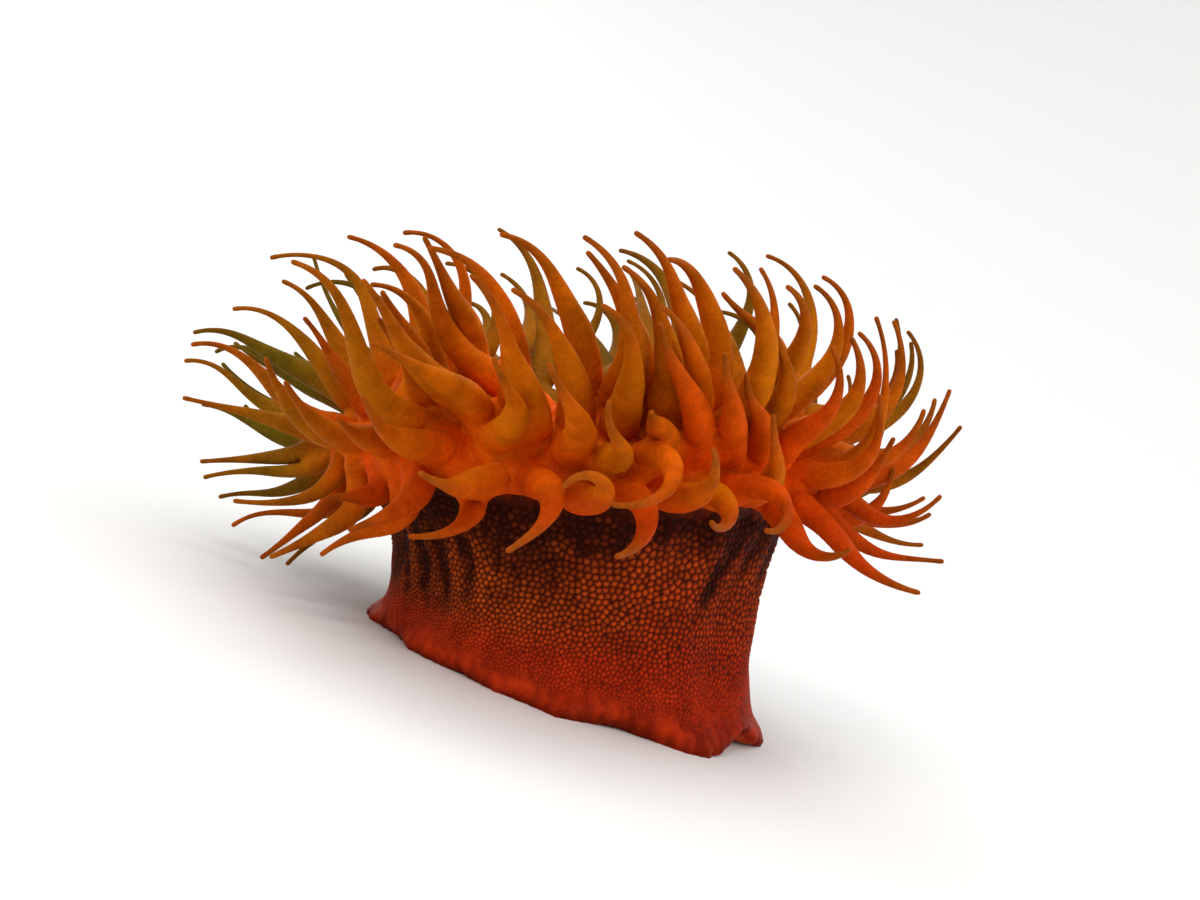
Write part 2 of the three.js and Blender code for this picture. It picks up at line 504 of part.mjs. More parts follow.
function add(name, geometry, material) {
  geometry.translate(SHIFT_X, SHIFT_Y, 0);
  const mesh = new THREE.Mesh(geometry, material);
  mesh.name = name;
  animal.add(mesh);
}

const { solids: sectors, done } = crownSectors();
add('foot', toGeometry(toSolid(foot())), materials.foot);
add('column_lower', toGeometry(clearOf(toSolid(trunkPiece(FOOT_TOP + GAP, LOWER_TOP)), done)), materials.column);
add('column_upper', toGeometry(clearOf(toSolid(trunkPiece(LOWER_TOP + GAP, UPPER_TOP)), done)), materials.column);
add('collar', toGeometry(clearOf(toSolid(trunkPiece(UPPER_TOP + GAP, crownFloor.z)), done)), materials.collar);
add('oral_disc', toGeometry(oralDisc(done)), materials.disc);
add('mouth', toGeometry(mouth()), materials.lips);
sectors.forEach((s, k) => add('feelers_' + String(k + 1).padStart(2, '0'), toGeometry(s), materials.feelers));

export default animal;
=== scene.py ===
# Sea anemone: skin, vesicles, finish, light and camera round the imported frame.
import math
import bpy
import numpy as np
from mathutils import Matrix, Vector
from mathutils.kdtree import KDTree


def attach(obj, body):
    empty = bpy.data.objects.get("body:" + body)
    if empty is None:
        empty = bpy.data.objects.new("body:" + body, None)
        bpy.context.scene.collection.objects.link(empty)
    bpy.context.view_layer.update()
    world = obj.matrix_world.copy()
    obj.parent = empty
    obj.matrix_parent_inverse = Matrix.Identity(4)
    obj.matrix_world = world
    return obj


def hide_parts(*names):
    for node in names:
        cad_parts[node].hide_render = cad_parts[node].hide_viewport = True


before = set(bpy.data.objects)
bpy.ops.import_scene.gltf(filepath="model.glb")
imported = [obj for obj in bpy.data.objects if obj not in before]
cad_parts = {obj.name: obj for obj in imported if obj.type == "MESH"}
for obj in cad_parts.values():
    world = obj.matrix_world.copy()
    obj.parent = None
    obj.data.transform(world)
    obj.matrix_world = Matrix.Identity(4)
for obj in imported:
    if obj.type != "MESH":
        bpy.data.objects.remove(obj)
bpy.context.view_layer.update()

RNG = np.random.default_rng(20)

# ------------------------------------------------------------ sizes, mm
SHIFT = np.array([17.22, -6.17, 0.0])
CC = np.array([-13.9986, 0.0041, 46.7003])
NN = np.array([-0.2396, 0.0064, 0.9708])
NN /= np.linalg.norm(NN)
ER = np.array([0.9707, 0.0188, 0.2395])
ER -= NN * (ER @ NN)
ER /= np.linalg.norm(ER)
EB = np.cross(NN, ER)

RING_FLOOR, GAP = -8.2, 0.3
FLOOR_PT = CC + NN * (RING_FLOOR - GAP)
TOP_H = FLOOR_PT[2]
TOP_TILT = math.degrees(math.atan2(-NN[0], NN[2]))
LIP_H = 3.5
WALL_TOP = TOP_H + LIP_H * NN[2]
STATIONS = np.array([
    [0.0, -0.3, 0.0, 40.6], [2.2, -0.3, 0.5, 40.2], [5.0, -1.4, 1.5, 38.6], [9.0, -2.4, 3.5, 37.4],
    [14.0, -3.6, 6.0, 36.7], [20.0, -4.8, 9.0, 36.7], [27.0, -6.6, 11.5, 37.6], [33.0, -9.0, 13.2, 39.8],
    [TOP_H, FLOOR_PT[0], TOP_TILT, 41.6],
    [TOP_H + LIP_H * NN[2], FLOOR_PT[0] + LIP_H * NN[0], TOP_TILT, 45.8]])   # the wall runs up under the ring's edge
TOES = [(178, 9, 2.6), (312, 10, 3.6), (2, 9, 1.6), (271, 5, 2.2), (206, 7, -3.2),
        (238, 8, -2.6), (290, 9, -5.0), (338, 9, -2.0), (75, 20, 2.5), (130, 16, -1.5)]
NOTCH_AZ, NOTCH_W, NOTCH_LIFT, NOTCH_REACH = 337, 8, 4.3, 8
FOLD = 0.9
FLARE = (5, 32, 2.2, 22)
ROW_R = [45.5, 43.0, 39.5, 35.0]
ROW_H = [-6.5, -2.8, 0.6, 2.6]
TIP, TAIL = 0.42, (0.5, 0.92, 0.4)

# azimuth of the root, row, length, five headings, three leans, root radius, taper power
FEELERS = np.array([
    [4, 0, 29.2, -28, -21, -12, 3, 36, 11, 10, 11, 3.2, 1.1],
    [16, 0, 35.1, -22, -27, -27, -17, 3, 21, 22, 22, 3.8, 1.4],
    [27, 0, 47.4, -30, -13, 12, 41, 72, 38, 38, 38, 3.3, 1.8],
    [38, 0, 55.1, -28, -11, 15, 48, 81, 43, 43, 42, 3.3, 1.9],
    [49, 0, 49.2, -64, -45, -14, 24, 62, 55, 55, 55, 3.6, 1.8],
    [71, 0, 48.1, -107, -127, -160, -201, -240, 64, 62, 59, 3.6, 1.8],
    [82, 0, 54.4, -115, -134, -163, -197, -231, 60, 59, 60, 3.4, 2],
    [93, 0, 50, -149, -166, -185, -206, -229, 55, 55, 54, 3.4, 1.5],
    [115, 0, 47.2, -144, -158, -172, -188, -203, 42, 42, 42, 3.6, 1.5],
    [126, 0, 47.6, -150, -164, -179, -195, -210, 37, 37, 36, 3.2, 1.7],
    [137, 0, 50.5, -148, -165, -184, -204, -223, 30, 30, 30, 3.1, 1.7],
    [158, 0, 34.3, -66, -93, -142, -139, -129, 28, -3, -30, 3.5, 1.4],
    [167, 0, 34.5, -132, -141, -153, -173, -161, 23, 21, 15, 3.8, 1.6],
    [175, 0, 31.7, -136, -156, -175, -170, -160, 9, 14, 13, 2.9, 1.6],
    [183, 0, 33.1, -64, -97, -173, -174, -140, -24, -18, -13, 3.2, 1.9],
    [192, 0, 27.2, -85, -105, -134, -136, -140, -20, -20, -17, 2.7, 1.1],
    [200, 0, 26.6, -109, -130, -161, -176, -184, -32, -27, -22, 2.7, 1.6],
    [208, 0, 29, -69, -97, -142, -149, -153, -29, -28, -20, 3.2, 0.9],
    [217, 0, 18, -38, -91, -171, -180, -175, -19, -43, -31, 3.7, 0.9],
    [225, 0, 27.5, -45, -88, -154, -154, -138, -26, -33, -21, 3.8, 1.1],
    [233, 0, 36.8, -65, -97, -143, -156, -161, -76, -71, -52, 3.8, 0.9],
    [242, 0, 35, -12, -48, -117, -158, -183, -50, -70, -33, 3.8, 1.1],
    [260, 0, 47.2, 30, 2, -74, -129, -151, -67, -78, -48, 3.8, 0.9],
    [269, 0, 44.2, -17, 1, 49, 137, 234, -69, -71, -46, 3.8, 0.9],
    [279, 0, 42.2, 32, 11, -63, -130, -179, -78, -61, -69, 3.8, 0.9],
    [289, 0, 43.7, 1, 18, 43, 78, 112, -58, -73, -49, 3.8, 0.9],
    [297, 0, 39.3, 29, 10, -37, -126, -249, -58, -75, -63, 3.8, 0.9],
    [305, 0, 36.5, 32, 28, -2, -85, -203, -61, -55, -50, 3.8, 0.9],
    [314, 0, 34.3, 25, 45, 82, 106, 97, -64, -58, -38, 3.8, 1.1],
    [322, 0, 30.9, -24, -42, -52, -6, 51, -59, -55, -39, 3.7, 0.9],
    [330, 0, 37.9, -12, -30, -45, -24, -5, -42, -42, -34, 3.2, 0.9],
    [339, 0, 27.2, -6, 11, 37, 63, 70, -39, -28, -18, 3.8, 1.1],
    [347, 0, 33.7, -36, -34, -27, 0, 2, -36, -30, -18, 3.5, 1.6],
    [355, 0, 26, -49, -26, 20, 59, 86, 4, 6, 6, 3.7, 1.1],
    [0, 1, 41, 2, -3, 29, 61, 74, -5, 10, 7, 4.3, 1.2],
    [9, 1, 32.3, -29, -30, -14, 10, 36, 14, 10, 11, 4.3, 1.4],
    [18, 1, 48.5, 2, -16, 0, 42, 58, 55, 8, -8, 4.3, 1.2],
    [30, 1, 56.3, 0, 18, 43, 74, 108, 28, 27, 26, 3.8, 1.5],
    [42, 1, 53.9, -13, 6, 39, 75, 108, 53, 53, 51, 3.8, 1.8],
    [54, 1, 49.9, 12, 28, 50, 75, 101, 49, 49, 48, 3.6, 2],
    [77, 1, 46.1, 117, 122, 126, 129, 131, 62, 62, 60, 4, 2.1],
    [89, 1, 54.3, -190, -197, -204, -211, -219, 68, 66, 66, 3.8, 2],
    [101, 1, 50.9, 181, 170, 158, 145, 131, 57, 56, 54, 3.8, 1.8],
    [125, 1, 54.9, -183, -189, -195, -203, -210, 39, 39, 39, 3.4, 1.6],
    [137, 1, 51.9, 175, 170, 164, 157, 150, 25, 25, 24, 4, 1.6],
    [148, 1, 50.4, -169, -180, -190, -204, -218, 30, 30, 28, 3.4, 1.8],
    [160, 1, 43.5, -171, -161, -190, -199, -180, 8, 27, 26, 4.2, 1.2],
    [169, 1, 36.1, -173, -148, -167, -171, -170, -12, 13, 18, 3.9, 1.4],
    [178, 1, 39.1, 177, 172, 157, 145, 190, 6, 10, 3, 3.9, 1.7],
    [187, 1, 34.3, -176, -187, -192, -189, -189, -15, -13, -12, 4.2, 1.7],
    [196, 1, 38.8, 174, 155, 134, 148, 195, -23, -18, -19, 3.9, 1.4],
    [205, 1, 31.4, -175, -193, -221, -241, -254, -38, -34, -33, 3.6, 1],
    [215, 1, 30.9, 168, 173, 144, 127, 117, -40, -50, -39, 3.6, 1],
    [225, 1, 32.8, 161, 164, 147, 130, 115, -48, -73, -70, 4.3, 1.2],
    [242, 1, 42.6, 149, 170, 150, 124, 106, -52, -68, -53, 4.3, 1],
    [251, 1, 43.6, 86, 56, 78, 116, 114, -49, -70, -44, 4.3, 1],
    [260, 1, 47.8, -147, -166, -190, -210, -217, -40, -79, -61, 4.3, 1],
    [268, 1, 51.2, 59, 71, 105, 120, 117, -59, -72, -48, 4.3, 1],
    [275, 1, 44.7, 55, 30, 63, 123, 85, -61, -79, -36, 4.3, 1],
    [283, 1, 46.1, 53, 40, -24, -134, -186, -61, -69, -23, 4.3, 1],
    [291, 1, 37, 66, 92, 128, 118, 101, -44, -72, -78, 4.3, 1],
    [299, 1, 46.7, 66, 87, 118, 122, 107, -53, -49, -48, 4.3, 1],
    [308, 1, 42.7, 67, 81, 97, 110, 99, -53, -59, -47, 4.3, 1],
    [316, 1, 35.8, 52, 69, 104, 126, 96, -42, -60, -37, 4.3, 1],
    [325, 1, 39.2, 65, 53, 45, 84, 125, -42, -44, -22, 4.3, 1.2],
    [334, 1, 36.6, 12, 7, 36, 85, 102, -36, -39, -23, 4.3, 1.4],
    [343, 1, 43.2, 5, 26, 76, 95, 116, -18, -8, -2, 4.3, 2],
    [352, 1, 33.3, 1, -26, -29, 21, 53, -19, -14, -7, 4.3, 1.4],
    [7, 2, 44.2, 17, 17, 41, 84, 117, -1, 12, 19, 4.3, 1.2],
    [16, 2, 44, 12, -7, 2, 46, 81, -6, 17, 26, 4.3, 1],
    [26, 2, 57.1, 14, 6, 22, 64, 134, 21, 27, 18, 4.3, 1.2],
    [35, 2, 57.8, 9, 6, 16, 51, 103, 31, 30, 18, 4.3, 1],
    [48, 2, 51.7, 0, -1, 10, 42, 110, 42, 36, 35, 4.2, 1.4],
    [74, 2, 53.9, 49, 67, 89, 116, 145, 57, 55, 54, 3.6, 1.7],
    [86, 2, 70.1, 56, 105, 141, 152, 157, 42, 68, 70, 3.7, 1.8],
    [99, 2, 60.7, 140, 143, 144, 144, 143, 63, 61, 60, 3.6, 1.5],
    [125, 2, 50.6, 151, 145, 139, 134, 131, 36, 34, 33, 4, 1.5],
    [137, 2, 56.5, 155, 149, 138, 126, 114, 31, 37, 36, 3.9, 2.1],
    [150, 2, 50.1, -186, -187, -199, -205, -149, 7, 26, 28, 4.3, 1.4],
    [165, 2, 47.4, 158, 160, 160, 159, 199, 21, 17, 15, 4.3, 1.2],
    [183, 2, 36.3, 148, 138, 133, 152, 193, -7, -3, -3, 4.3, 1.7],
    [193, 2, 33.9, 112, 123, 122, 128, 162, -17, -18, -18, 4.3, 1.4],
    [204, 2, 28, 130, 134, 130, 123, 133, -31, -29, -26, 4.3, 1.4],
    [215, 2, 45, 65, 79, 118, 114, 99, -38, -48, -77, 4.3, 1],
    [226, 2, 29.8, 94, 96, 115, 128, 126, -49, -39, -29, 4.3, 1],
    [238, 2, 55.1, 172, 153, 111, 114, 167, -43, -37, -23, 4.3, 1],
    [248, 2, 43.8, 110, 127, 150, 150, 155, -41, -60, -39, 4.3, 1],
    [258, 2, 50.4, 69, 93, 116, 110, 139, -66, -51, -22, 4.3, 1],
    [269, 2, 50, 74, 94, 111, 122, 155, -45, -56, -36, 4.3, 1],
    [281, 2, 49.4, 86, 79, 86, 106, 157, -55, -57, -43, 4.3, 1],
    [292, 2, 49.3, 80, 84, 104, 116, 152, -33, -46, -38, 4.3, 1],
    [300, 2, 46.5, 73, 82, 103, 118, 144, -38, -57, -40, 4.3, 1],
    [309, 2, 57.2, 60, 62, 91, 119, 147, -37, -45, -59, 4.3, 1],
    [319, 2, 38.1, 50, 55, 76, 110, 122, -21, -52, -26, 4.3, 1],
    [328, 2, 37.8, 33, 28, 42, 89, 128, -8, -29, -24, 4.3, 1],
    [338, 2, 38.4, 26, 27, 44, 90, 145, -18, -20, -7, 4.3, 1.2],
    [347, 2, 34.6, 27, -2, -4, 47, 79, -16, -7, -4, 4.3, 1],
    [357, 2, 48.4, 70, 79, 77, 115, 167, 26, 25, 26, 4.3, 1.4],
    [7, 3, 41.9, 49, 13, 2, 56, 103, 36, 7, 4, 4.3, 1],
    [17, 3, 38.5, 94, 101, 111, 131, 158, 31, 23, 12, 3.6, 1.4],
    [27, 3, 42.2, 45, 38, 52, 87, 137, 44, 37, 24, 4.3, 1.4],
    [38, 3, 52.3, 106, 110, 112, 132, 174, 4, 40, 34, 4.3, 1],
    [48, 3, 52.4, 44, 32, 64, 129, 181, 22, 54, 33, 4.3, 1.2],
    [58, 3, 44.4, 64, 71, 77, 97, 139, 37, 57, 55, 4.2, 1.2],
    [68, 3, 62.5, 20, 37, 58, 79, 151, 50, 38, 24, 4.3, 1],
    [79, 3, 53, 51, 72, 99, 106, 124, 25, 54, 68, 4.3, 1.2],
    [89, 3, 61.3, 61, 42, 58, 106, 162, 31, 55, 30, 4.3, 1.4],
    [99, 3, 58.6, 20, 34, 61, 101, 181, 63, 59, 31, 4.3, 1],
    [110, 3, 57.1, 64, 83, 98, 115, 156, 52, 45, 13, 4.3, 1],
    [120, 3, 60.7, 61, 39, 38, 75, 161, 79, 39, 26, 4.3, 1.2],
    [130, 3, 48.9, 52, 54, 76, 115, 158, 23, 56, 35, 3.9, 1.2],
    [140, 3, 37.7, 86, 67, 60, 102, 172, 49, 51, 43, 4.3, 1],
    [151, 3, 47.6, 119, 120, 128, 164, 210, 40, 29, 15, 4.3, 1.7],
    [161, 3, 46.3, 31, 43, 76, 129, 181, 19, 25, 23, 4.3, 1.7],
    [171, 3, 37.9, 61, 78, 103, 138, 200, 21, 16, 20, 4.2, 1.2],
    [182, 3, 45, 108, 114, 115, 165, 198, -3, 2, -1, 4.3, 2],
    [193, 3, 42.3, 66, 82, 107, 136, 172, -14, -15, -25, 4.3, 1.2],
    [204, 3, 47, 52, 68, 80, 127, 192, -14, -20, -29, 4.3, 1.7],
    [216, 3, 37.3, 75, 94, 107, 139, 184, -9, -39, -45, 4.3, 1.4],
    [228, 3, 49.2, 63, 85, 117, 114, 120, 1, -53, -45, 4.3, 1],
    [240, 3, 55.6, 119, 139, 130, 116, 128, -54, -56, -52, 4.3, 1],
    [251, 3, 56.7, 79, 91, 102, 129, 179, -59, -46, -27, 4.3, 1],
    [261, 3, 56.1, 116, 152, 120, 104, 174, 23, -42, -51, 4.3, 1.2],
    [270, 3, 51.3, 83, 88, 116, 124, 173, -31, -38, -30, 4.3, 1],
    [278, 3, 58.8, 77, 71, 96, 107, 154, -33, -61, -17, 4.3, 1],
    [287, 3, 48.5, 69, 94, 112, 123, 137, -19, -47, -40, 4.3, 1],
    [296, 3, 55.8, 63, 75, 114, 115, 154, -20, -48, -36, 4.3, 1],
    [306, 3, 50.5, 56, 81, 110, 129, 188, -12, -31, -72, 4.3, 1],
    [315, 3, 48.9, 62, 41, 64, 93, 153, -7, -47, -44, 4.3, 1],
    [326, 3, 41.7, 56, 57, 98, 146, 136, -5, -40, -21, 4.3, 1],
    [336, 3, 35.6, 86, 77, 75, 97, 128, -3, 12, 18, 4.3, 1.4],
    [346, 3, 39.3, 60, 45, 56, 97, 154, -17, -12, -10, 4.3, 1.2],
    [356, 3, 42.2, 71, 40, 55, 94, 159, -21, -9, 1, 4.3, 1.2],
], float)


# ------------------------------------------------------------ small maths
def smooth(a, b, x):
    t = np.clip((np.asarray(x, float) - a) / (b - a), 0, 1)
    return t * t * (3 - 2 * t)


def bump(az, at, width):
    d = (np.asarray(az, float) - at + 540) % 360 - 180
    return np.exp(-d * d / (2 * width * width))


def through(values, s):
    v = np.asarray(values, float)
    m = len(v) - 1
    x = np.clip(np.asarray(s, float) * m, 0, m - 1e-9)
    i = x.astype(int)
    f = x - i
    b, c = v[i], v[i + 1]
    a = np.where(i > 0, v[np.clip(i - 1, 0, m)], 2 * v[0] - v[1])
    d = np.where(i + 2 <= m, v[np.clip(i + 2, 0, m)], 2 * v[m] - v[m - 1])
    return .5 * (2 * b + (c - a) * f + (2 * a - 5 * b + 4 * c - d) * f * f + (3 * b - a - 3 * c + d) * f ** 3)


def hermite(xs, ys, x):
    """Smooth curve through a table, without overshoot."""
    h = np.diff(xs)
    m = np.diff(ys) / h
    d = np.zeros(len(xs))
    d[1:-1] = np.where(m[1:] * m[:-1] > 0, 2 * m[1:] * m[:-1] / (m[1:] + m[:-1] + 1e-12), 0)
    d[0], d[-1] = m[0], m[-1]
    i = np.clip(np.searchsorted(xs, x) - 1, 0, len(xs) - 2)
    t = (x - xs[i]) / h[i]
    return ((2 * t ** 3 - 3 * t ** 2 + 1) * ys[i] + (t ** 3 - 2 * t ** 2 + t) * h[i] * d[i]
            + (-2 * t ** 3 + 3 * t ** 2) * ys[i + 1] + (t ** 3 - t ** 2) * h[i] * d[i + 1])


def wave_noise(p, scale, seed, octaves=3):
    """Cheap smooth noise, about -1 to 1, from sums of turned sine waves."""
    r = np.random.default_rng(seed)
    out = np.zeros(len(p))
    amp, tot = 1.0, 0.0
    for _ in range(octaves):
        for _ in range(4):
            k = r.normal(size=3)
            k *= 2 * math.pi / scale / np.linalg.norm(k) * r.uniform(.7, 1.3)
            out += amp * np.sin(p @ k + r.uniform(0, 6.28))
            tot += amp * amp / 2
        amp *= .55
        scale *= .5
    return out / math.sqrt(tot) / 1.6


# ------------------------------------------------------------ trunk surface
def trunk(h, az, inset=0.0):
    """Points of the wall at axis height h and azimuth az (degrees)."""
    h = np.asarray(h, float)
    az = np.asarray(az, float)
    a = np.radians(az)
    x = hermite(STATIONS[:, 0], STATIONS[:, 1], h)
    tilt = np.radians(hermite(STATIONS[:, 0], STATIONS[:, 2], h))
    r = hermite(STATIONS[:, 0], STATIONS[:, 3], h)
    low = np.clip(1 - h / 7, 0, 1)
    for at, width, reach in TOES:
        r = r + reach * low * low * bump(az, at, width)
    flare = np.clip((h - FLARE[3]) / (TOP_H - FLARE[3]), 0, 1)
    r = r + FLARE[2] * flare * flare * bump(az, FLARE[0], FLARE[1])
    r = r + .32 * np.clip(1 - h / 3.0, 0, 1) * (np.cos(a * 23 + 1.5 * np.sin(a * 5)) + .6 * np.cos(a * 41 + 2) - .9)
    fold = np.minimum(1, h / 10) * np.clip((TOP_H - h) / 8, 0, 1)
    r = r + FOLD * fold * (.5 * np.cos(7 * a + .7 + h * .05) + .5 * np.cos(11 * a - 1.1 - h * .09))
    r = r - crease_at(h, az)
    r = r + .17 * np.clip(1 - h / 2.2, 0, 1) * (np.cos(a * 61 + 2 * np.sin(a * 3)) + .7 * np.cos(a * 97 + 1) + .6 * np.cos(a * 149 + 2 * np.sin(a * 7)))
    lift = NOTCH_LIFT * np.clip(1 - h / NOTCH_REACH, 0, 1) ** 1.3 * bump(az, NOTCH_AZ, NOTCH_W)
    r = r - inset
    q = r * np.cos(a)
    return np.stack([x + q * np.cos(tilt), (h / TOP_H) * FLOOR_PT[1] + r * np.sin(a), h + q * np.sin(tilt) + lift], -1)


CREASES = [  # [azimuth low down, azimuth high up, from height, to height, width, depth]
    (211, 203, 9, 37, 2.0, .5), (220, 212, 10, 37, 2.2, .6), (229, 223, 12, 37, 2.2, .6), (239, 235, 14, 37, 2.4, .55),
    (249, 246, 20, 37, 2.6, .4), (312, 326, 20, 37, 3.0, .7), (302, 309, 27, 37, 2.6, .5), (326, 340, 24, 37, 2.4, .6), (339, 351, 24, 37, 2.6, .6),
    (260, 262, 20, 37, 6.0, .4)]
for _k, _a in enumerate(range(2, 200, 14)):
    _t = math.sin(_k * 2.4)
    CREASES.append((_a + 4 * _t, _a + 7 * _t, 17 + 6 * math.sin(_k * 1.7), 37, 2.4 + .5 * math.cos(_k * 3.1), .42 + .1 * _t))


def crease_at(h, az):
    out = np.zeros(np.broadcast(h, az).shape)
    for a0, a1, h0, h1, width, depth in CREASES:
        f = np.clip((h - h0) / (h1 - h0), 0, 1)
        at = a0 + (a1 - a0) * f + .6 * np.sin(h * .33 + a0)
        ends = smooth(h0 - 5, h0 + 11, h) * (1 - smooth(h1 - 1, h1 + 3, h))
        d = (az - at + 540) % 360 - 180
        out = np.maximum(out, depth * ends * np.exp(-d * d / (2 * width * width)))
    return out


BEAD_H = 0.46


# ------------------------------------------------------------ colours, linear
def srgb(r, g, b):
    c = np.array([r, g, b]) / 255.0
    return np.where(c <= .04045, c / 12.92, ((c + .055) / 1.055) ** 2.4)


def mix(a, b, t):
    t = np.asarray(t)[..., None]
    return a * (1 - t) + b * t


def shade_and_bands_of(h, az, p):
    """Darkening of the wall: painted shade under the crown and in the folds, and darker soft long bands."""
    n1, n2 = wave_noise(p, 13, 31, 4), wave_noise(p, 5, 32, 3)
    az = az + 1.6 * n1
    under = WALL_TOP - h
    d = 1.0 - smooth(8.5, 16.5, under + 2.2 * n1 - 2.5 * bump(az, 235, 40) + 2.5 * bump(az, 295, 25))
    d = d * (.8 + .2 * np.maximum(bump(az, 245, 60), bump(az, 100, 60))) * (.30 + .70 * smooth(1.6, 5.0, under + 1.3 * n2))
    d = np.maximum(d, .95 * smooth(.0, .44, crease_at(h, az - 1.1 * n1) * (1 + .25 * n2)))
    d = np.maximum(d, .85 * smooth(16, 28, h + 2 * n2) * bump(az, 259, 10))
    d = np.maximum(d, .80 * bump(az, 196, 9) * smooth(5, 16, h))
    d = np.maximum(d, .35 * bump(az, 347, 9) * smooth(14, 30, h))
    d = np.maximum(d, .35 * bump(az, 172, 18) * smooth(6, 20, h))
    return np.clip(d + .10 * n2 * d, 0, 1)


# colour of the painted shade in the hollows between the vesicles
WALL_GROOVE_SHADE = srgb(58, 19, 7)
# colour of the painted shade under the crown and in the folds, and of the dark bands
WALL_SHADE_AND_BAND = srgb(14, 7, 4)
BEAD_ORANGE = srgb(171, 67, 15)
BEAD_BROWN = srgb(129, 49, 13)
BEAD_RED = srgb(164, 40, 9)
# vesicle colour in the painted shade under the crown and in the folds, and in the dark bands
BEAD_SHADE_AND_BAND = srgb(35, 13, 6)
LIMBUS = srgb(170, 46, 12)
LIMBUS_DEEP = srgb(122, 28, 9)
SOLE = srgb(160, 84, 48)

FEEL_ORANGE = srgb(202, 85, 4)
FEEL_RED = srgb(198, 64, 4)
FEEL_HANG = srgb(188, 51, 6)
FEEL_YELLOW = srgb(172, 98, 6)
FEEL_OLIVE = srgb(78, 82, 15)
FEEL_BROWN = srgb(166, 82, 5)
TIP_RED = srgb(130, 65, 11)
DISC_TAN = srgb(160, 88, 32)
DISC_LINE = srgb(110, 48, 16)
LIP = srgb(180, 82, 36)


# ------------------------------------------------------------ mesh helper
def new_mesh(name, pts, faces, tint, surf, uv_of_vertex, collection=None):
    me = bpy.data.meshes.new(name)
    pts = (np.asarray(pts, float) + SHIFT) / 1000.0
    tri = [np.asarray(f, np.int32) for f in faces if len(f)]
    loops = np.concatenate([f.ravel() for f in tri])
    counts = np.concatenate([np.full(len(f), f.shape[1], np.int32) for f in tri])
    starts = np.r_[0, np.cumsum(counts)[:-1]].astype(np.int32)
    me.vertices.add(len(pts))
    me.vertices.foreach_set("co", pts.astype(np.float32).ravel())
    me.loops.add(len(loops))
    me.loops.foreach_set("vertex_index", loops)
    me.polygons.add(len(counts))
    me.polygons.foreach_set("loop_start", starts)
    me.polygons.foreach_set("loop_total", counts)
    me.update(calc_edges=True)
    me.validate()
    for nm, data in (("tint", tint), ("surf", surf)):
        at = me.attributes.new(nm, "FLOAT_COLOR", "POINT")
        rgba = np.full((len(pts), 4), .5, np.float32)      # .5 in the fourth value marks a colour that was set
        rgba[:, :3] = data
        at.data.foreach_set("color", rgba.ravel())
    layer = me.uv_layers.new(name="OFBake")
    uv = np.asarray(uv_of_vertex, np.float32)[loops]
    layer.uv.foreach_set("vector", uv.ravel())
    me.polygons.foreach_set("use_smooth", np.ones(len(counts), bool))
    ob = bpy.data.objects.new(name, me)
    (collection or bpy.context.scene.collection).objects.link(ob)
    return ob


def grid_faces(rings, sides):
    i = np.arange(rings - 1)[:, None] * sides
    j = np.arange(sides)[None]
    a = i + j
    b = i + (j + 1) % sides
    return np.stack([a, b, b + sides, a + sides], -1).reshape(-1, 4)


# ------------------------------------------------------------ where the vesicles sit
def spacing(h):
    return np.interp(h, [5, 8, 13, 20, 28, 34, 40], [.80, .90, 1.06, 1.26, 1.40, 1.52, 1.68])


def vesicle_places():
    rows, h, k = [], 2.2, 0
    while h < WALL_TOP - .4:
        s = float(spacing(h))
        r = float(hermite(STATIONS[:, 0], STATIONS[:, 3], np.array([h]))[0])
        n = int(round(2 * math.pi * r / s / 1.0))
        az = (np.arange(n) + .5 * (k % 2)) * 360 / n + k * 1.7
        rows.append(np.stack([az + RNG.normal(0, .30, n) * 360 / n, h + RNG.normal(0, .26 * s, n)], 1))
        h += s * .87
        k += 1
    P = np.concatenate(rows)
    for it in range(8):
        r = hermite(STATIONS[:, 0], STATIONS[:, 3], P[:, 1])
        X = trunk(P[:, 1], P[:, 0])
        e = trunk(P[:, 1], P[:, 0] + .5) - X
        e /= np.linalg.norm(e, axis=1)[:, None]
        up = trunk(P[:, 1] + .2, P[:, 0]) - X
        up /= np.linalg.norm(up, axis=1)[:, None]
        kd = KDTree(len(X))
        for i, p in enumerate(X):
            kd.insert(p, i)
        kd.balance()
        S = spacing(P[:, 1]) * 1.03
        move = np.zeros((len(P), 3))
        for i, p in enumerate(X):
            for _, j, dist in kd.find_n(p, 7):
                if 1e-6 < dist < S[i]:
                    move[i] += (p - X[j]) * ((S[i] - dist) / dist * .26)
        P[:, 0] += np.degrees((move * e).sum(1) / r)
        P[:, 1] = np.clip(P[:, 1] + (move * up).sum(1), 2.0, WALL_TOP - .3)
    return P


PLACES = vesicle_places()
PLACE_TREE = KDTree(len(PLACES))
for i, p in enumerate(trunk(PLACES[:, 1], PLACES[:, 0])):
    PLACE_TREE.insert(p, i)
PLACE_TREE.balance()
PLACE_CHANCE = RNG.random((len(PLACES), 3))


# ------------------------------------------------------------ the wall: sole, limbus and vesicled column
NA = 960


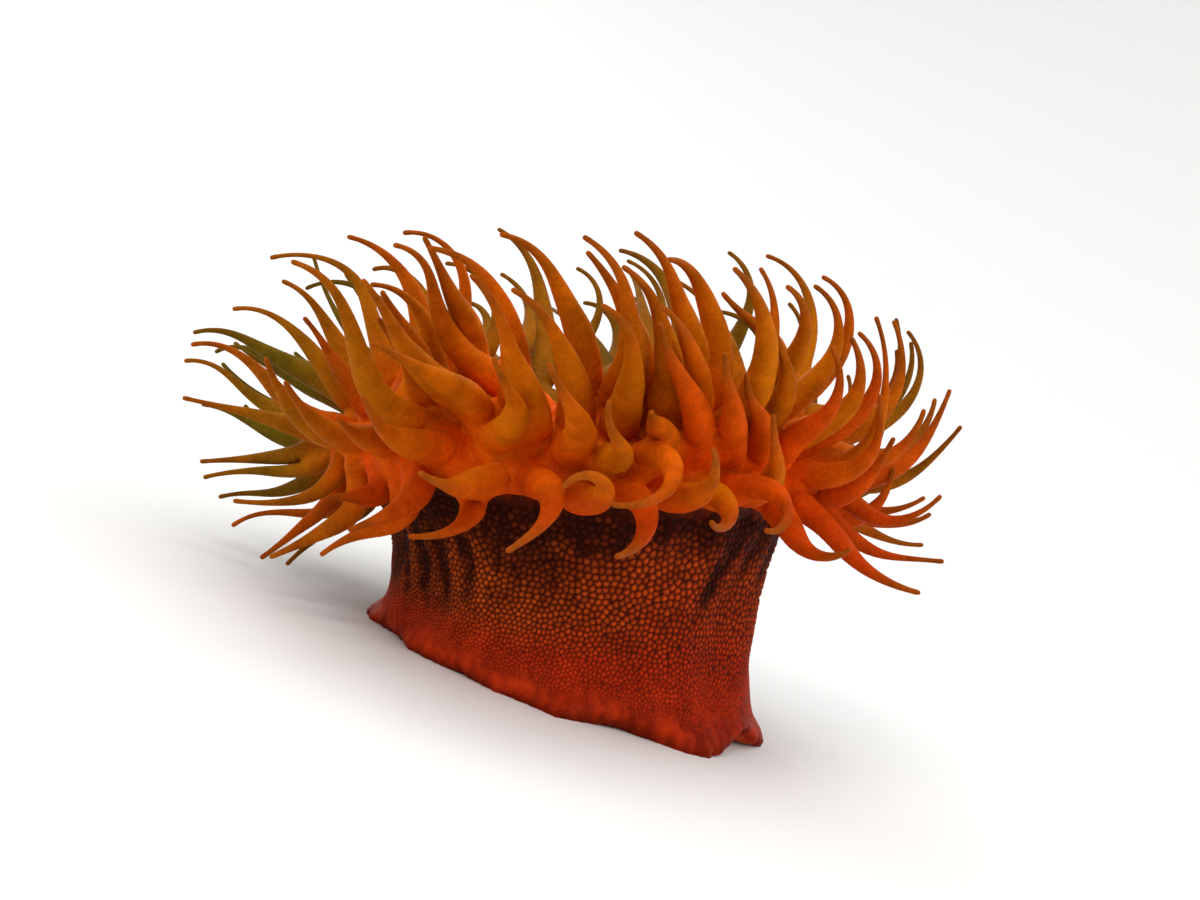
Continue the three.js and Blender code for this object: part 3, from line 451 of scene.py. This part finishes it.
def wall():
    az = np.arange(NA) * 360.0 / NA
    edge = trunk(np.zeros(NA), az)
    V, tint, vv = [], [], []

    def push(p, c, v):
        V.append(p)
        tint.append(np.broadcast_to(c, (NA, 3)))
        vv.append(np.full(NA, v))

    for f in (.04, .3, .6):
        p = edge * f
        p[:, 2] = 0
        push(p, SOLE, .02 * f)
    inner = 30 / np.hypot(edge[:, 0], edge[:, 1])
    for k, f in enumerate((0, .4, .8)):
        p = edge * (inner + (1 - inner) * f)[:, None]
        p[:, 2] = edge[:, 2] * f ** 2
        push(p, mix(SOLE[None], LIMBUS[None], np.full(NA, f)), .02 + .005 * k)
    hs = np.concatenate([[.0, .12, .35, .7], np.arange(1.1, 2.7, .4), np.arange(2.9, WALL_TOP, .255)])
    H, A = [v.ravel() for v in np.meshgrid(hs, az, indexing="ij")]
    q0 = trunk(H, A)
    cover = smooth(1.2, 7.0, H)
    u = np.ones(len(H))
    who = np.zeros(len(H), int)
    for i in np.where(cover > 0)[0]:
        (_, j, d1), (_, _, d2) = PLACE_TREE.find_n(q0[i], 2)
        u[i] = 2 * d1 / (d1 + d2)
        who[i] = j
    dome = 1 - np.clip(u, 0, 1) ** 2.1
    C = PLACE_CHANCE[who]
    nz = wave_noise(q0, 9, 5)
    stria = np.cos(np.radians(A * 74) + 2.2 * nz)
    low = 1 - smooth(4, 8, H)
    inset = BEAD_H * cover * (1 - dome * (.86 + .14 * C[:, 0])) * (.6 + .4 * smooth(8, 20, H))
    inset = inset + low * smooth(0, 1.5, H) * (.05 - .05 * stria + .07 * (1 - nz)) + .9 * (1 - smooth(0, 1.1, H))
    q = trunk(H, A, inset)
    # mask of painted shade under the crown and in the folds, with darker long bands
    dark = shade_and_bands_of(H, A, q0)
    band = mix(LIMBUS[None], LIMBUS_DEEP[None], np.clip(.45 + .22 * stria + .5 * nz + .35 * bump(A, 318, 30), 0, 1))
    bead = mix(BEAD_ORANGE[None], BEAD_BROWN[None], np.clip(.45 + .45 * wave_noise(q0, 14, 3) + .9 * (C[:, 1] - .5), 0, 1))
    red = .85 * (1 - smooth(7, 18, H)) + .5 * bump(A, 325, 38) * (1 - smooth(12, 30, H)) + .3 * bump(A, 320, 34) + .9 * smooth(WALL_TOP - 6, WALL_TOP - 2.5, H) * smooth(.1, .6, C[:, 2])
    bead = mix(bead, BEAD_RED[None], np.clip(red, 0, 1))
    # the vesicles darken into the painted shade and the dark bands
    bead = mix(bead, BEAD_SHADE_AND_BAND[None], np.clip(dark * (1.0 + .3 * (.5 - C[:, 2])), 0, .97))
    bead = bead * (.82 + .40 * C[:, 0])[:, None] * (1 + bump(A, 228, 34)[:, None] * np.array((.10, .32, .32)))
    # painted shade: the hollows between the vesicles are darker, darker still in the painted shade under the crown and
    # in the folds
    groove = mix(mix(LIMBUS_DEEP[None] * .8, WALL_GROOVE_SHADE[None], smooth(7, 15, H)), WALL_SHADE_AND_BAND[None], dark * .9)
    # painted highlight: the crowns of the vesicles are lighter
    skin = mix(groove, bead, smooth(.12, .85, dome)) * (.86 + .22 * smooth(.5, 1, dome))[:, None]
    # painted shade: the foot darkens along its lowest edge, where it turns in under onto the floor
    band = band * (.62 + .38 * smooth(.1, 2.6, H + .5 * nz))[:, None]
    c = mix(band, skin, smooth(1.4, 7.5, H + .8 * nz) * .95)
    for k, h in enumerate(hs):
        sl = slice(k * NA, (k + 1) * NA)
        push(q[sl], c[sl], .05 + .9 * h / WALL_TOP)
    nr = len(V)
    V = np.concatenate(V)
    F = grid_faces(nr, NA)
    first = np.arange(NA)[::-1][None]
    last = ((nr - 1) * NA + np.arange(NA))[None]
    uv = np.stack([.005 + .49 * np.tile(az / 360, nr), .005 + .99 * np.concatenate(vv)], 1)
    surf = np.zeros((len(V), 3))
    return new_mesh("anemone_skin", V, [F, first, last], np.concatenate(tint), surf, uv)


# ------------------------------------------------------------ ring, oral disc and mouth
NC = 420
CROWN = np.array([  # [radius, height, squeeze of the mouth]
    (.5, -13, 1), (20, -13, 1), (34, -12.4, 1), (38.5, -10.6, 1), (40.6, -8.4, 1), (42.2, -6.9, 1), (44.6, -5.7, 1), (46.5, -4.3, 1),
    (46.5, -2.2, 1), (43.4, .5, 1), (39.1, 2.5, 1), (34.8, 2.9, 1), (31.4, 1.5, 1), (26.5, -.7, 1), (20, -1.8, 1), (14, -1.7, 1),
    (10, -.8, 1), (7.6, .3, .98), (6.6, 1.6, .92), (5.4, 2.3, .78), (4.5, 2.1, .55), (4.0, 1.3, .33), (3.7, -.2, .22),
    (3.4, -1.8, .2), (2.2, -2.4, .2), (.3, -2.5, .3)], float)


def crown_pts(az, r, h, squeeze=1.0):
    a = np.radians(az)
    return CC + ER * (r * np.cos(a))[:, None] + EB * (r * squeeze * np.sin(a))[:, None] + NN * np.asarray(h)[..., None]


def crown(collection):
    az = np.arange(NC) * 360.0 / NC
    a = np.radians(az)
    dist = np.r_[0, np.cumsum(np.hypot(np.diff(CROWN[:, 0]), np.diff(CROWN[:, 1])))]
    tt = np.concatenate([np.linspace(0, dist[3], 5)[:-1], np.arange(dist[3], dist[-1], .55), [dist[-1]]])
    P = np.stack([hermite(dist, CROWN[:, k], tt) for k in range(3)], 1)
    V, tint = [], []
    for k, (r, h, sq) in enumerate(P):
        on_disc = float(1 - smooth(28, 33, r)) if h > -3 or r < 10 else 0.0
        rib = np.abs(np.cos(24 * a)) ** 6
        depth = .24 * rib * on_disc * float(smooth(7.5, 11, r))
        lips = (.35 * np.abs(np.cos(9 * a)) ** 1.5 * float(bump(r, 5.8, 1.2))) if r < 9 and h > -3 else 0
        pucker = -.3 * (1 + np.cos(36 * a + 3.14 * (h > -4.5))) * float(smooth(38, 41, r))
        p = crown_pts(az, np.full(NC, r) + pucker, np.full(NC, h) - depth + lips, sq)
        nz = wave_noise(p, 8, 9)
        disc = mix(DISC_TAN[None], DISC_LINE[None], np.clip(rib * .75 + .25 * nz, 0, 1))
        disc = mix(disc, LIP[None], np.full(NC, float(1 - smooth(6.5, 9, r))))
        disc = mix(disc, LIMBUS_DEEP[None], np.full(NC, float(1 - smooth(3.2, 4.3, r))))
        ring = feel_colour(np.zeros(NC), .5 + .25 * nz, p)
        # painted shade: the ring turns dark toward its underside under the collar's overhang, and its top between the
        # feeler roots is darker
        ring = mix(ring, WALL_SHADE_AND_BAND[None], np.full(NC, .8 * float(1 - smooth(-6.6, -5.2, h)))) * (1 - .26 * float(smooth(-1.5, 1.5, h)))
        V.append(p)
        tint.append(mix(ring, disc, np.full(NC, on_disc)))
    nr = len(V)
    V = np.concatenate(V)
    F = grid_faces(nr, NC)
    caps = [np.arange(NC)[::-1][None], ((nr - 1) * NC + np.arange(NC))[None]]
    uv = np.stack([.5 + .49 * np.tile(az / 360, nr), .9 + .095 * np.repeat(np.arange(nr) / nr, NC)], 1)
    surf = np.zeros((len(V), 3))
    surf[:, 1] = .5
    return new_mesh("crown", V, [F] + caps, np.concatenate(tint), surf, uv, collection)


def feel_colour(s, rnd, p):
    """Colour of the flesh of a feeler by where it is, the way along it, and its own chance; painted shade darkens the
    far side and painted light brightens the near roots.
    """
    d = p - CC
    back = smooth(-14, 44, d @ EB)                 # the far, shaded side is olive
    left = 1 - smooth(-66, -10, d @ ER)
    right = smooth(10, 60, d @ ER)
    near = (1 - back) * (1 - left)
    hang = 1 - smooth(-9, -1.5, d @ NN)            # the lowest rows are redder
    c = mix(FEEL_ORANGE[None], FEEL_YELLOW[None], np.clip(.85 * left + .5 * (.5 - rnd), 0, 1))
    c = mix(c, FEEL_RED[None], np.clip(.6 * right + 1.4 * (rnd - .55), 0, .9))
    c = mix(c, FEEL_BROWN[None], np.clip(.5 * back + .8 * (.35 - rnd), 0, .7))
    c = mix(c, FEEL_OLIVE[None], np.clip(back ** 1.15 * (.70 + .5 * (rnd - .5)) + .34 * left * np.exp(-((s - .5) / .3) ** 2) + .12 * smooth(.1, .5, s), 0, .8))
    c = mix(c, FEEL_RED[None], .44 * near * (1 - smooth(.08, .42, s)))
    c = mix(c, FEEL_YELLOW[None], .70 * (1 - smooth(.35, .95, rnd)) * (1 - left) * (1 - .8 * hang) * np.exp(-((s - .48) / .27) ** 2))
    c = mix(c, FEEL_HANG[None], .62 * hang * near)
    # painted light and shade: lighter toward the root on the near side, darker on the far side, most near the root
    c = c * ((1 - .14 * smooth(.4, .95, s)) * (1 + .19 * (1 - back) * (1 - smooth(.2, .85, s))) * (1 - .15 * hang * near)
             * (1 - .13 * left) * (1 - .12 * right) * (1 - .28 * back * (1 - .6 * s)))[..., None]
    return mix(c, TIP_RED[None], np.clip(smooth(.66, .97, s) * (.85 - .5 * back - .45 * left * (1.4 - rnd)), 0, 1))


# ------------------------------------------------------------ feelers
PITCH, SIDES = .42, 18


def feeler_path(row, n):
    az, level, length = row[0], int(row[1]), row[2]
    s = (np.arange(n) + .5) / n
    hd = np.radians(through(row[3:8], s))
    ln = np.radians(through(row[8:11], s))
    d = (np.cos(ln) * np.cos(hd))[:, None] * ER + (np.cos(ln) * np.sin(hd))[:, None] * NN + np.sin(ln)[:, None] * EB
    a = math.radians(az)
    out = math.cos(a) * ER + math.sin(a) * EB
    root = CC + out * ROW_R[level] + NN * ROW_H[level]
    pts = np.vstack([root, root + np.cumsum(d * length / n, 0)])
    return root, out, pts


def feeler(i, row, collection):
    length, rr, taper = row[2], row[11], row[12]
    n = max(24, int(length / PITCH))
    root, out, pts = feeler_path(row, n)
    r = np.random.default_rng(500 + i)
    s = np.arange(n + 1) / n
    rad = TIP + (rr - TIP) * (1 - s) ** taper * (1 - TAIL[2] * smooth(TAIL[0], TAIL[1], s))
    L = s * length
    # soft wrinkles across, a slight unevenness along, a small knob at the end
    ph = r.uniform(0, 6.28, 4)
    wr = .55 * np.sin(L * 2 * math.pi / 1.9 + ph[0] + 1.2 * np.sin(L * .31 + ph[1])) + .45 * np.sin(L * 2 * math.pi / 1.25 + ph[2])
    rad = rad * (1 + .020 * wr * (1 - s) ** .5 + .035 * np.sin(L * 2 * math.pi / r.uniform(9, 15) + ph[3]) * (1 - s))
    rad = rad * (1 + .14 * np.exp(-((L - length + .5) / .6) ** 2))
    lowest = row[1] == 0
    rad = rad * (1 + (.05 if lowest else .15) * np.exp(-(L / 6.5) ** 2))
    if lowest:
        pts = pts + NN * (1.5 * np.exp(-(L / 6) ** 2))[:, None]
        root = pts[0]
    # the base runs on under the ring's skin, thinning out, in line with the first stretch of the feeler
    m = 9
    d0 = pts[3] - pts[0]
    d0 /= np.linalg.norm(d0)
    along = 1 - abs(float(d0 @ out))
    k = np.arange(m)[:, None] / m
    lead = root - d0 * (2.2 + 4.2 * along) * (1 - k) - (out * 3.4 + NN * .6) * (1 - k) ** 1.6
    swell = .30 + .70 * smooth(-.15, 1.05, k[:, 0])
    low = RING_FLOOR + 2.8 + rad[0] * swell * .8
    lead = lead + NN * np.maximum(0, low - (lead - CC) @ NN)[:, None] * (1 - k) ** .5
    pts = np.vstack([lead, pts])
    rad = np.r_[rad[0] * swell, rad]
    ss = np.r_[np.zeros(m), s]
    LL = np.r_[-np.linspace(6, .4, m), L]
    # round end
    tip_r = rad[-1]
    d_end = pts[-1] - pts[-2]
    d_end /= np.linalg.norm(d_end)
    for f in (.35, .65, .88):
        pts = np.vstack([pts, pts[m + n] + d_end * tip_r * f])
        rad = np.r_[rad, tip_r * math.sqrt(1 - f * f)]
        ss = np.r_[ss, 1.0]
        LL = np.r_[LL, length + tip_r * f]
    T = np.gradient(pts, axis=0)
    T /= np.linalg.norm(T, axis=1)[:, None]
    for _ in range(2):
        T[1:-1] = .25 * T[:-2] + .5 * T[1:-1] + .25 * T[2:]
        T /= np.linalg.norm(T, axis=1)[:, None]
    side = np.cross(T[0], NN)
    if np.linalg.norm(side) < .2:
        side = np.cross(T[0], ER)
    N1 = np.zeros_like(pts)
    for k in range(len(pts)):
        side = side - T[k] * (side @ T[k])
        side /= np.linalg.norm(side)
        N1[k] = side
    N2 = np.cross(T, N1)
    q = 2 * math.pi * np.arange(SIDES) / SIDES
    # a little flattened near the root, with one or two shallow grooves down it
    flat = 1 - .10 * (1 - ss) * r.uniform(.2, 1)
    groove = 1 - .03 * (1 - ss)[:, None] * np.maximum(0, np.cos(q[None] - ph[1] - .8 * ss[:, None])) ** 6
    rr2 = rad[:, None] * groove
    V = (pts[:, None] + N1[:, None] * (rr2 * np.cos(q))[..., None] / flat[:, None, None]
         + N2[:, None] * (rr2 * np.sin(q) * flat[:, None])[..., None]).reshape(-1, 3)
    nr = len(pts)
    F = grid_faces(nr, SIDES)
    caps = [np.arange(SIDES)[::-1][None], ((nr - 1) * SIDES + np.arange(SIDES))[None]]
    rnd = .8 * r.random() + max(.55 * (1 - float(smooth(18, 36, length))), .27 * (row[1] <= 1))     # short and low ones are redder
    sv = np.repeat(ss, SIDES)
    tint = feel_colour(sv, np.full(len(V), rnd), V)
    # painted light: the very root is lighter, standing in for light coming through its clear flesh
    tint = tint * (1 + .08 * (1 - smooth(0, .16, sv)))[:, None]
    surf = np.stack([np.repeat(LL, SIDES) / 60.0, np.full(len(V), 1.0), np.full(len(V), rnd)], 1)
    cell = i % 12, i // 12
    u = .5 + .5 * (cell[0] + .05 + .9 * np.tile(np.abs(np.arange(SIDES) * 2 / SIDES - 1), nr)) / 12
    v = .9 * (cell[1] + .04 + .92 * np.repeat(np.arange(nr) / nr, SIDES)) / 12
    return new_mesh("feeler_%03d" % i, V, [F] + caps, tint, surf, np.stack([u, v], 1), collection)


skin = wall()
tubes = bpy.data.collections.new("tubes")
bpy.context.scene.collection.children.link(tubes)
tube_objects = [crown(tubes)] + [feeler(i, row, tubes) for i, row in enumerate(FEELERS)]

mod = skin.modifiers.new("join", "BOOLEAN")
mod.operation = "UNION"
mod.operand_type = "COLLECTION"
mod.collection = tubes
mod.solver = "MANIFOLD"
dg = bpy.context.evaluated_depsgraph_get()
joined = bpy.data.meshes.new_from_object(skin.evaluated_get(dg), preserve_all_data_layers=True, depsgraph=dg)
skin.modifiers.clear()
old = skin.data
skin.data = joined
bpy.data.meshes.remove(old)
for ob in tube_objects:
    me = ob.data
    bpy.data.objects.remove(ob)
    bpy.data.meshes.remove(me)
bpy.data.collections.remove(tubes)
joined.name = "anemone_skin"
joined.polygons.foreach_set("use_smooth", np.ones(len(joined.polygons), bool))


def soften(me):
    """Rounds the creases where feelers, ring and trunk meet, and blends their colours there."""
    nv, ne = len(me.vertices), len(me.edges)
    co = np.empty(nv * 3, np.float32)
    me.vertices.foreach_get("co", co)
    co = co.reshape(-1, 3).astype(float)
    ev = np.empty(ne * 2, np.int32)
    me.edges.foreach_get("vertices", ev)
    ev = ev.reshape(-1, 2)
    nf = len(me.polygons)
    fn = np.empty(nf * 3, np.float32)
    me.polygons.foreach_get("normal", fn)
    fn = fn.reshape(-1, 3)
    tot = np.empty(nf, np.int32)
    me.polygons.foreach_get("loop_total", tot)
    le = np.empty(len(me.loops), np.int32)
    me.loops.foreach_get("edge_index", le)
    face_of_loop = np.repeat(np.arange(nf), tot)
    order = np.argsort(le, kind="stable")
    le_s, f_s = le[order], face_of_loop[order]
    first = np.searchsorted(le_s, np.arange(ne))
    f1, f2 = f_s[first], f_s[np.minimum(first + 1, len(f_s) - 1)]
    bend = (fn[f1] * fn[f2]).sum(1)
    local = co * 1000 - SHIFT - CC
    height = local @ NN
    out = np.hypot(local @ ER, local @ EB)
    zone = (height > -10.5) & (height < 10) & (out > 30) & (out < 58)
    seed = np.zeros(nv, bool)
    sharp = ev[bend < .80]
    seed[sharp.ravel()] = True
    seed &= zone
    w = seed.astype(float)
    for level in (.85, .62, .38, .18):
        grow = np.zeros(nv)
        np.maximum.at(grow, ev[:, 0], w[ev[:, 1]])
        np.maximum.at(grow, ev[:, 1], w[ev[:, 0]])
        w = np.where((w == 0) & (grow > 0), level, w)
    live = w > 0
    use = ev[live[ev[:, 0]] | live[ev[:, 1]]]
    a, b = np.r_[use[:, 0], use[:, 1]], np.r_[use[:, 1], use[:, 0]]
    deg = np.maximum(np.bincount(a, minlength=nv), 1)
    layers = []
    for nm in ("tint", "surf"):
        buf = np.empty(nv * 4, np.float32)
        me.attributes[nm].data.foreach_get("color", buf)
        layers.append(buf.reshape(-1, 4).astype(float))
    vals = np.concatenate([co] + layers, 1)
    # the union leaves its new vertices without colours: they take those of their neighbours
    both_a, both_b = np.r_[ev[:, 0], ev[:, 1]], np.r_[ev[:, 1], ev[:, 0]]
    known = np.abs(vals[:, 6] - .5) < .01
    for it in range(12):
        if known.all():
            break
        pick = known[both_b] & ~known[both_a]
        pa, pb = both_a[pick], both_b[pick]
        cnt = np.bincount(pa, minlength=nv)
        got = cnt > 0
        for k in range(3, vals.shape[1]):
            vals[got, k] = (np.bincount(pa, vals[pb, k], minlength=nv) / np.maximum(cnt, 1))[got]
        known = known | got
    for it in range(14):
        mean = np.stack([np.bincount(a, vals[b, k], minlength=nv) for k in range(vals.shape[1])], 1) / deg[:, None]
        vals[live] += (.7 * w[live])[:, None] * (mean[live] - vals[live])
    me.vertices.foreach_set("co", vals[:, :3].astype(np.float32).ravel())
    for k, nm in enumerate(("tint", "surf")):
        me.attributes[nm].data.foreach_set("color", vals[:, 3 + 4 * k:7 + 4 * k].astype(np.float32).ravel())
    me.update()
    return int(live.sum())


softened = soften(joined)
print("skin", len(joined.vertices), "vertices", len(joined.polygons), "faces", softened, "softened", [a.name for a in joined.attributes])


# ------------------------------------------------------------ materials
def material(name):
    m = bpy.data.materials.new(name)
    m.use_nodes = True
    nt = m.node_tree
    nt.nodes.clear()
    out = nt.nodes.new("ShaderNodeOutputMaterial")
    b = nt.nodes.new("ShaderNodeBsdfPrincipled")
    nt.links.new(b.outputs[0], out.inputs["Surface"])
    return m, nt, b


def node(nt, kind, **kw):
    n = nt.nodes.new(kind)
    for k, v in kw.items():
        if k.startswith("in_"):
            n.inputs[int(k[3:]) if k[3:].isdigit() else k[3:]].default_value = v
        else:
            setattr(n, k, v)
    return n


def flesh_material():
    m, nt, b = material("flesh")
    L = nt.links.new
    tint = node(nt, "ShaderNodeAttribute", attribute_name="tint")
    surf = node(nt, "ShaderNodeAttribute", attribute_name="surf")
    sep = node(nt, "ShaderNodeSeparateColor")
    L(surf.outputs["Color"], sep.inputs[0])
    co = node(nt, "ShaderNodeTexCoord")
    # cloudy flesh: light and dark patches a few millimetres across, and fine grain
    n1 = node(nt, "ShaderNodeTexNoise")
    n1.inputs["Scale"].default_value = 170
    n1.inputs["Detail"].default_value = 5
    n1.inputs["Roughness"].default_value = .6
    L(co.outputs["Object"], n1.inputs["Vector"])
    n2 = node(nt, "ShaderNodeTexNoise")
    n2.inputs["Scale"].default_value = 1500
    n2.inputs["Detail"].default_value = 3
    L(co.outputs["Object"], n2.inputs["Vector"])
    # fine rings across a feeler
    ringco = node(nt, "ShaderNodeMath", operation="MULTIPLY_ADD")
    L(sep.outputs[0], ringco.inputs[0])
    ringco.inputs[1].default_value = 60 * 2 * math.pi / .62
    wob = node(nt, "ShaderNodeMath", operation="MULTIPLY")
    L(n1.outputs["Fac"], wob.inputs[0])
    wob.inputs[1].default_value = 13.0
    L(wob.outputs[0], ringco.inputs[2])
    ring = node(nt, "ShaderNodeMath", operation="SINE")
    L(ringco.outputs[0], ring.inputs[0])
    ringm = node(nt, "ShaderNodeMath", operation="MULTIPLY")
    L(ring.outputs[0], ringm.inputs[0])
    L(sep.outputs[1], ringm.inputs[1])
    # colour
    r1 = node(nt, "ShaderNodeMapRange")
    r1.inputs["From Min"].default_value = .3
    r1.inputs["From Max"].default_value = .7
    r1.inputs["To Min"].default_value = .74
    r1.inputs["To Max"].default_value = 1.24
    L(n1.outputs["Fac"], r1.inputs["Value"])
    # painted shade and highlight: the colour darkens in the wrinkle troughs and lightens on the ridges, in step with
    # the relief
    r2 = node(nt, "ShaderNodeMapRange")
    r2.inputs["From Min"].default_value = -1
    r2.inputs["From Max"].default_value = 1
    r2.inputs["To Min"].default_value = .94
    r2.inputs["To Max"].default_value = 1.06
    L(ringm.outputs[0], r2.inputs["Value"])
    mul = node(nt, "ShaderNodeMath", operation="MULTIPLY")
    L(r1.outputs[0], mul.inputs[0])
    L(r2.outputs[0], mul.inputs[1])
    r3 = node(nt, "ShaderNodeMapRange")
    r3.inputs["From Min"].default_value = .35
    r3.inputs["From Max"].default_value = .65
    r3.inputs["To Min"].default_value = .90
    r3.inputs["To Max"].default_value = 1.10
    L(n2.outputs["Fac"], r3.inputs["Value"])
    mul2 = node(nt, "ShaderNodeMath", operation="MULTIPLY")
    L(mul.outputs[0], mul2.inputs[0])
    L(r3.outputs[0], mul2.inputs[1])
    col = node(nt, "ShaderNodeVectorMath", operation="SCALE")
    L(tint.outputs["Color"], col.inputs[0])
    L(mul2.outputs[0], col.inputs["Scale"])
    L(col.outputs[0], b.inputs["Base Color"])
    # relief
    h1 = node(nt, "ShaderNodeMath", operation="MULTIPLY_ADD")
    L(n2.outputs["Fac"], h1.inputs[0])
    h1.inputs[1].default_value = .5
    h2 = node(nt, "ShaderNodeMath", operation="MULTIPLY")
    L(ringm.outputs[0], h2.inputs[0])
    h2.inputs[1].default_value = .22
    L(h2.outputs[0], h1.inputs[2])
    bp = node(nt, "ShaderNodeBump")
    bp.inputs["Strength"].default_value = .35
    bp.inputs["Distance"].default_value = .00012
    L(h1.outputs[0], bp.inputs["Height"])
    L(bp.outputs[0], b.inputs["Normal"])
    rr = node(nt, "ShaderNodeMapRange")
    rr.inputs["To Min"].default_value = .36
    rr.inputs["To Max"].default_value = .52
    L(n1.outputs["Fac"], rr.inputs["Value"])
    L(rr.outputs[0], b.inputs["Roughness"])
    ssw = node(nt, "ShaderNodeMapRange")
    ssw.inputs["To Min"].default_value = .08
    ssw.inputs["To Max"].default_value = .46
    L(sep.outputs[1], ssw.inputs["Value"])
    L(ssw.outputs[0], b.inputs["Subsurface Weight"])
    b.inputs["Subsurface Radius"].default_value = (.85, .34, .10)
    b.inputs["Subsurface Scale"].default_value = .0018
    spec = node(nt, "ShaderNodeMapRange")
    spec.inputs["To Min"].default_value = .015
    spec.inputs["To Max"].default_value = .012
    L(sep.outputs[1], spec.inputs["Value"])
    L(spec.outputs[0], b.inputs["Specular IOR Level"])
    return m


skin.data.materials.clear()
skin.data.materials.append(flesh_material())

# ------------------------------------------------------------ to the frame
nodes = ["foot", "column_lower", "column_upper", "collar", "oral_disc", "mouth"] + ["feelers_%02d" % k for k in range(1, 13)]
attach(skin, "root")
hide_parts(*nodes)

# ------------------------------------------------------------ floor, light, camera
def stage():
    prof = [(0, 0), (.2, 0), (.45, 0)] + [(r, (r - .45) ** 2 / 3.4) for r in np.linspace(.5, 3.2, 40)]
    SEG = 96
    v, f = [(0, 0, 0)], []
    for r, z in prof[1:]:
        for k in range(SEG):
            a = 2 * math.pi * k / SEG
            v.append((r * math.cos(a), r * math.sin(a), z))
    for k in range(SEG):
        f.append((0, 1 + k, 1 + (k + 1) % SEG))
    for j in range(len(prof) - 2):
        for k in range(SEG):
            a, b2 = 1 + j * SEG + k, 1 + j * SEG + (k + 1) % SEG
            f.append((a, a + SEG, b2 + SEG, b2))
    me = bpy.data.meshes.new("floor")
    me.from_pydata(v, [], f)
    me.polygons.foreach_set("use_smooth", [True] * len(me.polygons))
    ob = bpy.data.objects.new("floor", me)
    bpy.context.scene.collection.objects.link(ob)
    m, nt, b = material("floor_pale")
    b.inputs["Base Color"].default_value = (.83, .83, .82, 1)
    b.inputs["Roughness"].default_value = .9
    b.inputs["Specular IOR Level"].default_value = .1
    me.materials.append(m)


stage()


def area(name, at, aim, size, watts, colour=(1, 1, 1)):
    li = bpy.data.lights.new(name, "AREA")
    li.shape = "DISK"
    li.size = size
    li.energy = watts
    li.color = colour
    ob = bpy.data.objects.new(name, li)
    ob.location = at
    ob.rotation_euler = (Vector(aim) - Vector(at)).to_track_quat("-Z", "Y").to_euler()
    bpy.context.scene.collection.objects.link(ob)


AIM = (0, 0, .045)
area("key", (-.45, -.95, 1.05), AIM, .6, 6.0, (1, .98, .95))
area("fill", (1.0, -.8, .5), AIM, .8, 3.7)
area("top", (.1, .3, 1.5), AIM, 1.0, 4.6)
area("rim", (-.7, 1.1, .6), AIM, .7, 2.8)
w = bpy.data.worlds.new("world")
bpy.context.scene.world = w
w.use_nodes = True
w.node_tree.nodes["Background"].inputs[0].default_value = (1, 1, 1, 1)
w.node_tree.nodes["Background"].inputs[1].default_value = .90

# the camera looks level across the animal, rolled with the slope that it sat on
EL, ROLL, DIST, SPAN = math.radians(4.5), math.radians(18.9), .5, .240
r0 = Vector((1, 0, 0))
fwd = Vector((0, math.cos(EL), -math.sin(EL)))
up0 = Vector((0, math.sin(EL), math.cos(EL)))
right = math.cos(ROLL) * r0 + math.sin(ROLL) * up0
up = -math.sin(ROLL) * r0 + math.cos(ROLL) * up0
base_px = ((566 - 600) * SPAN / 1200, (450 - 680) * SPAN / 1200)
eye = -fwd * DIST - right * base_px[0] - up * base_px[1] + Vector(SHIFT / 1000)
cam = bpy.data.cameras.new("camera")
cam.sensor_fit = "HORIZONTAL"
cam.sensor_width = 36
cam.lens = 36 * DIST / SPAN
cam.clip_start = .01
co = bpy.data.objects.new("camera", cam)
co.matrix_world = Matrix(((right.x, up.x, -fwd.x, eye.x), (right.y, up.y, -fwd.y, eye.y), (right.z, up.z, -fwd.z, eye.z), (0, 0, 0, 1)))
bpy.context.scene.collection.objects.link(co)
bpy.context.scene.camera = co
bpy.context.scene.view_settings.view_transform = "Standard"
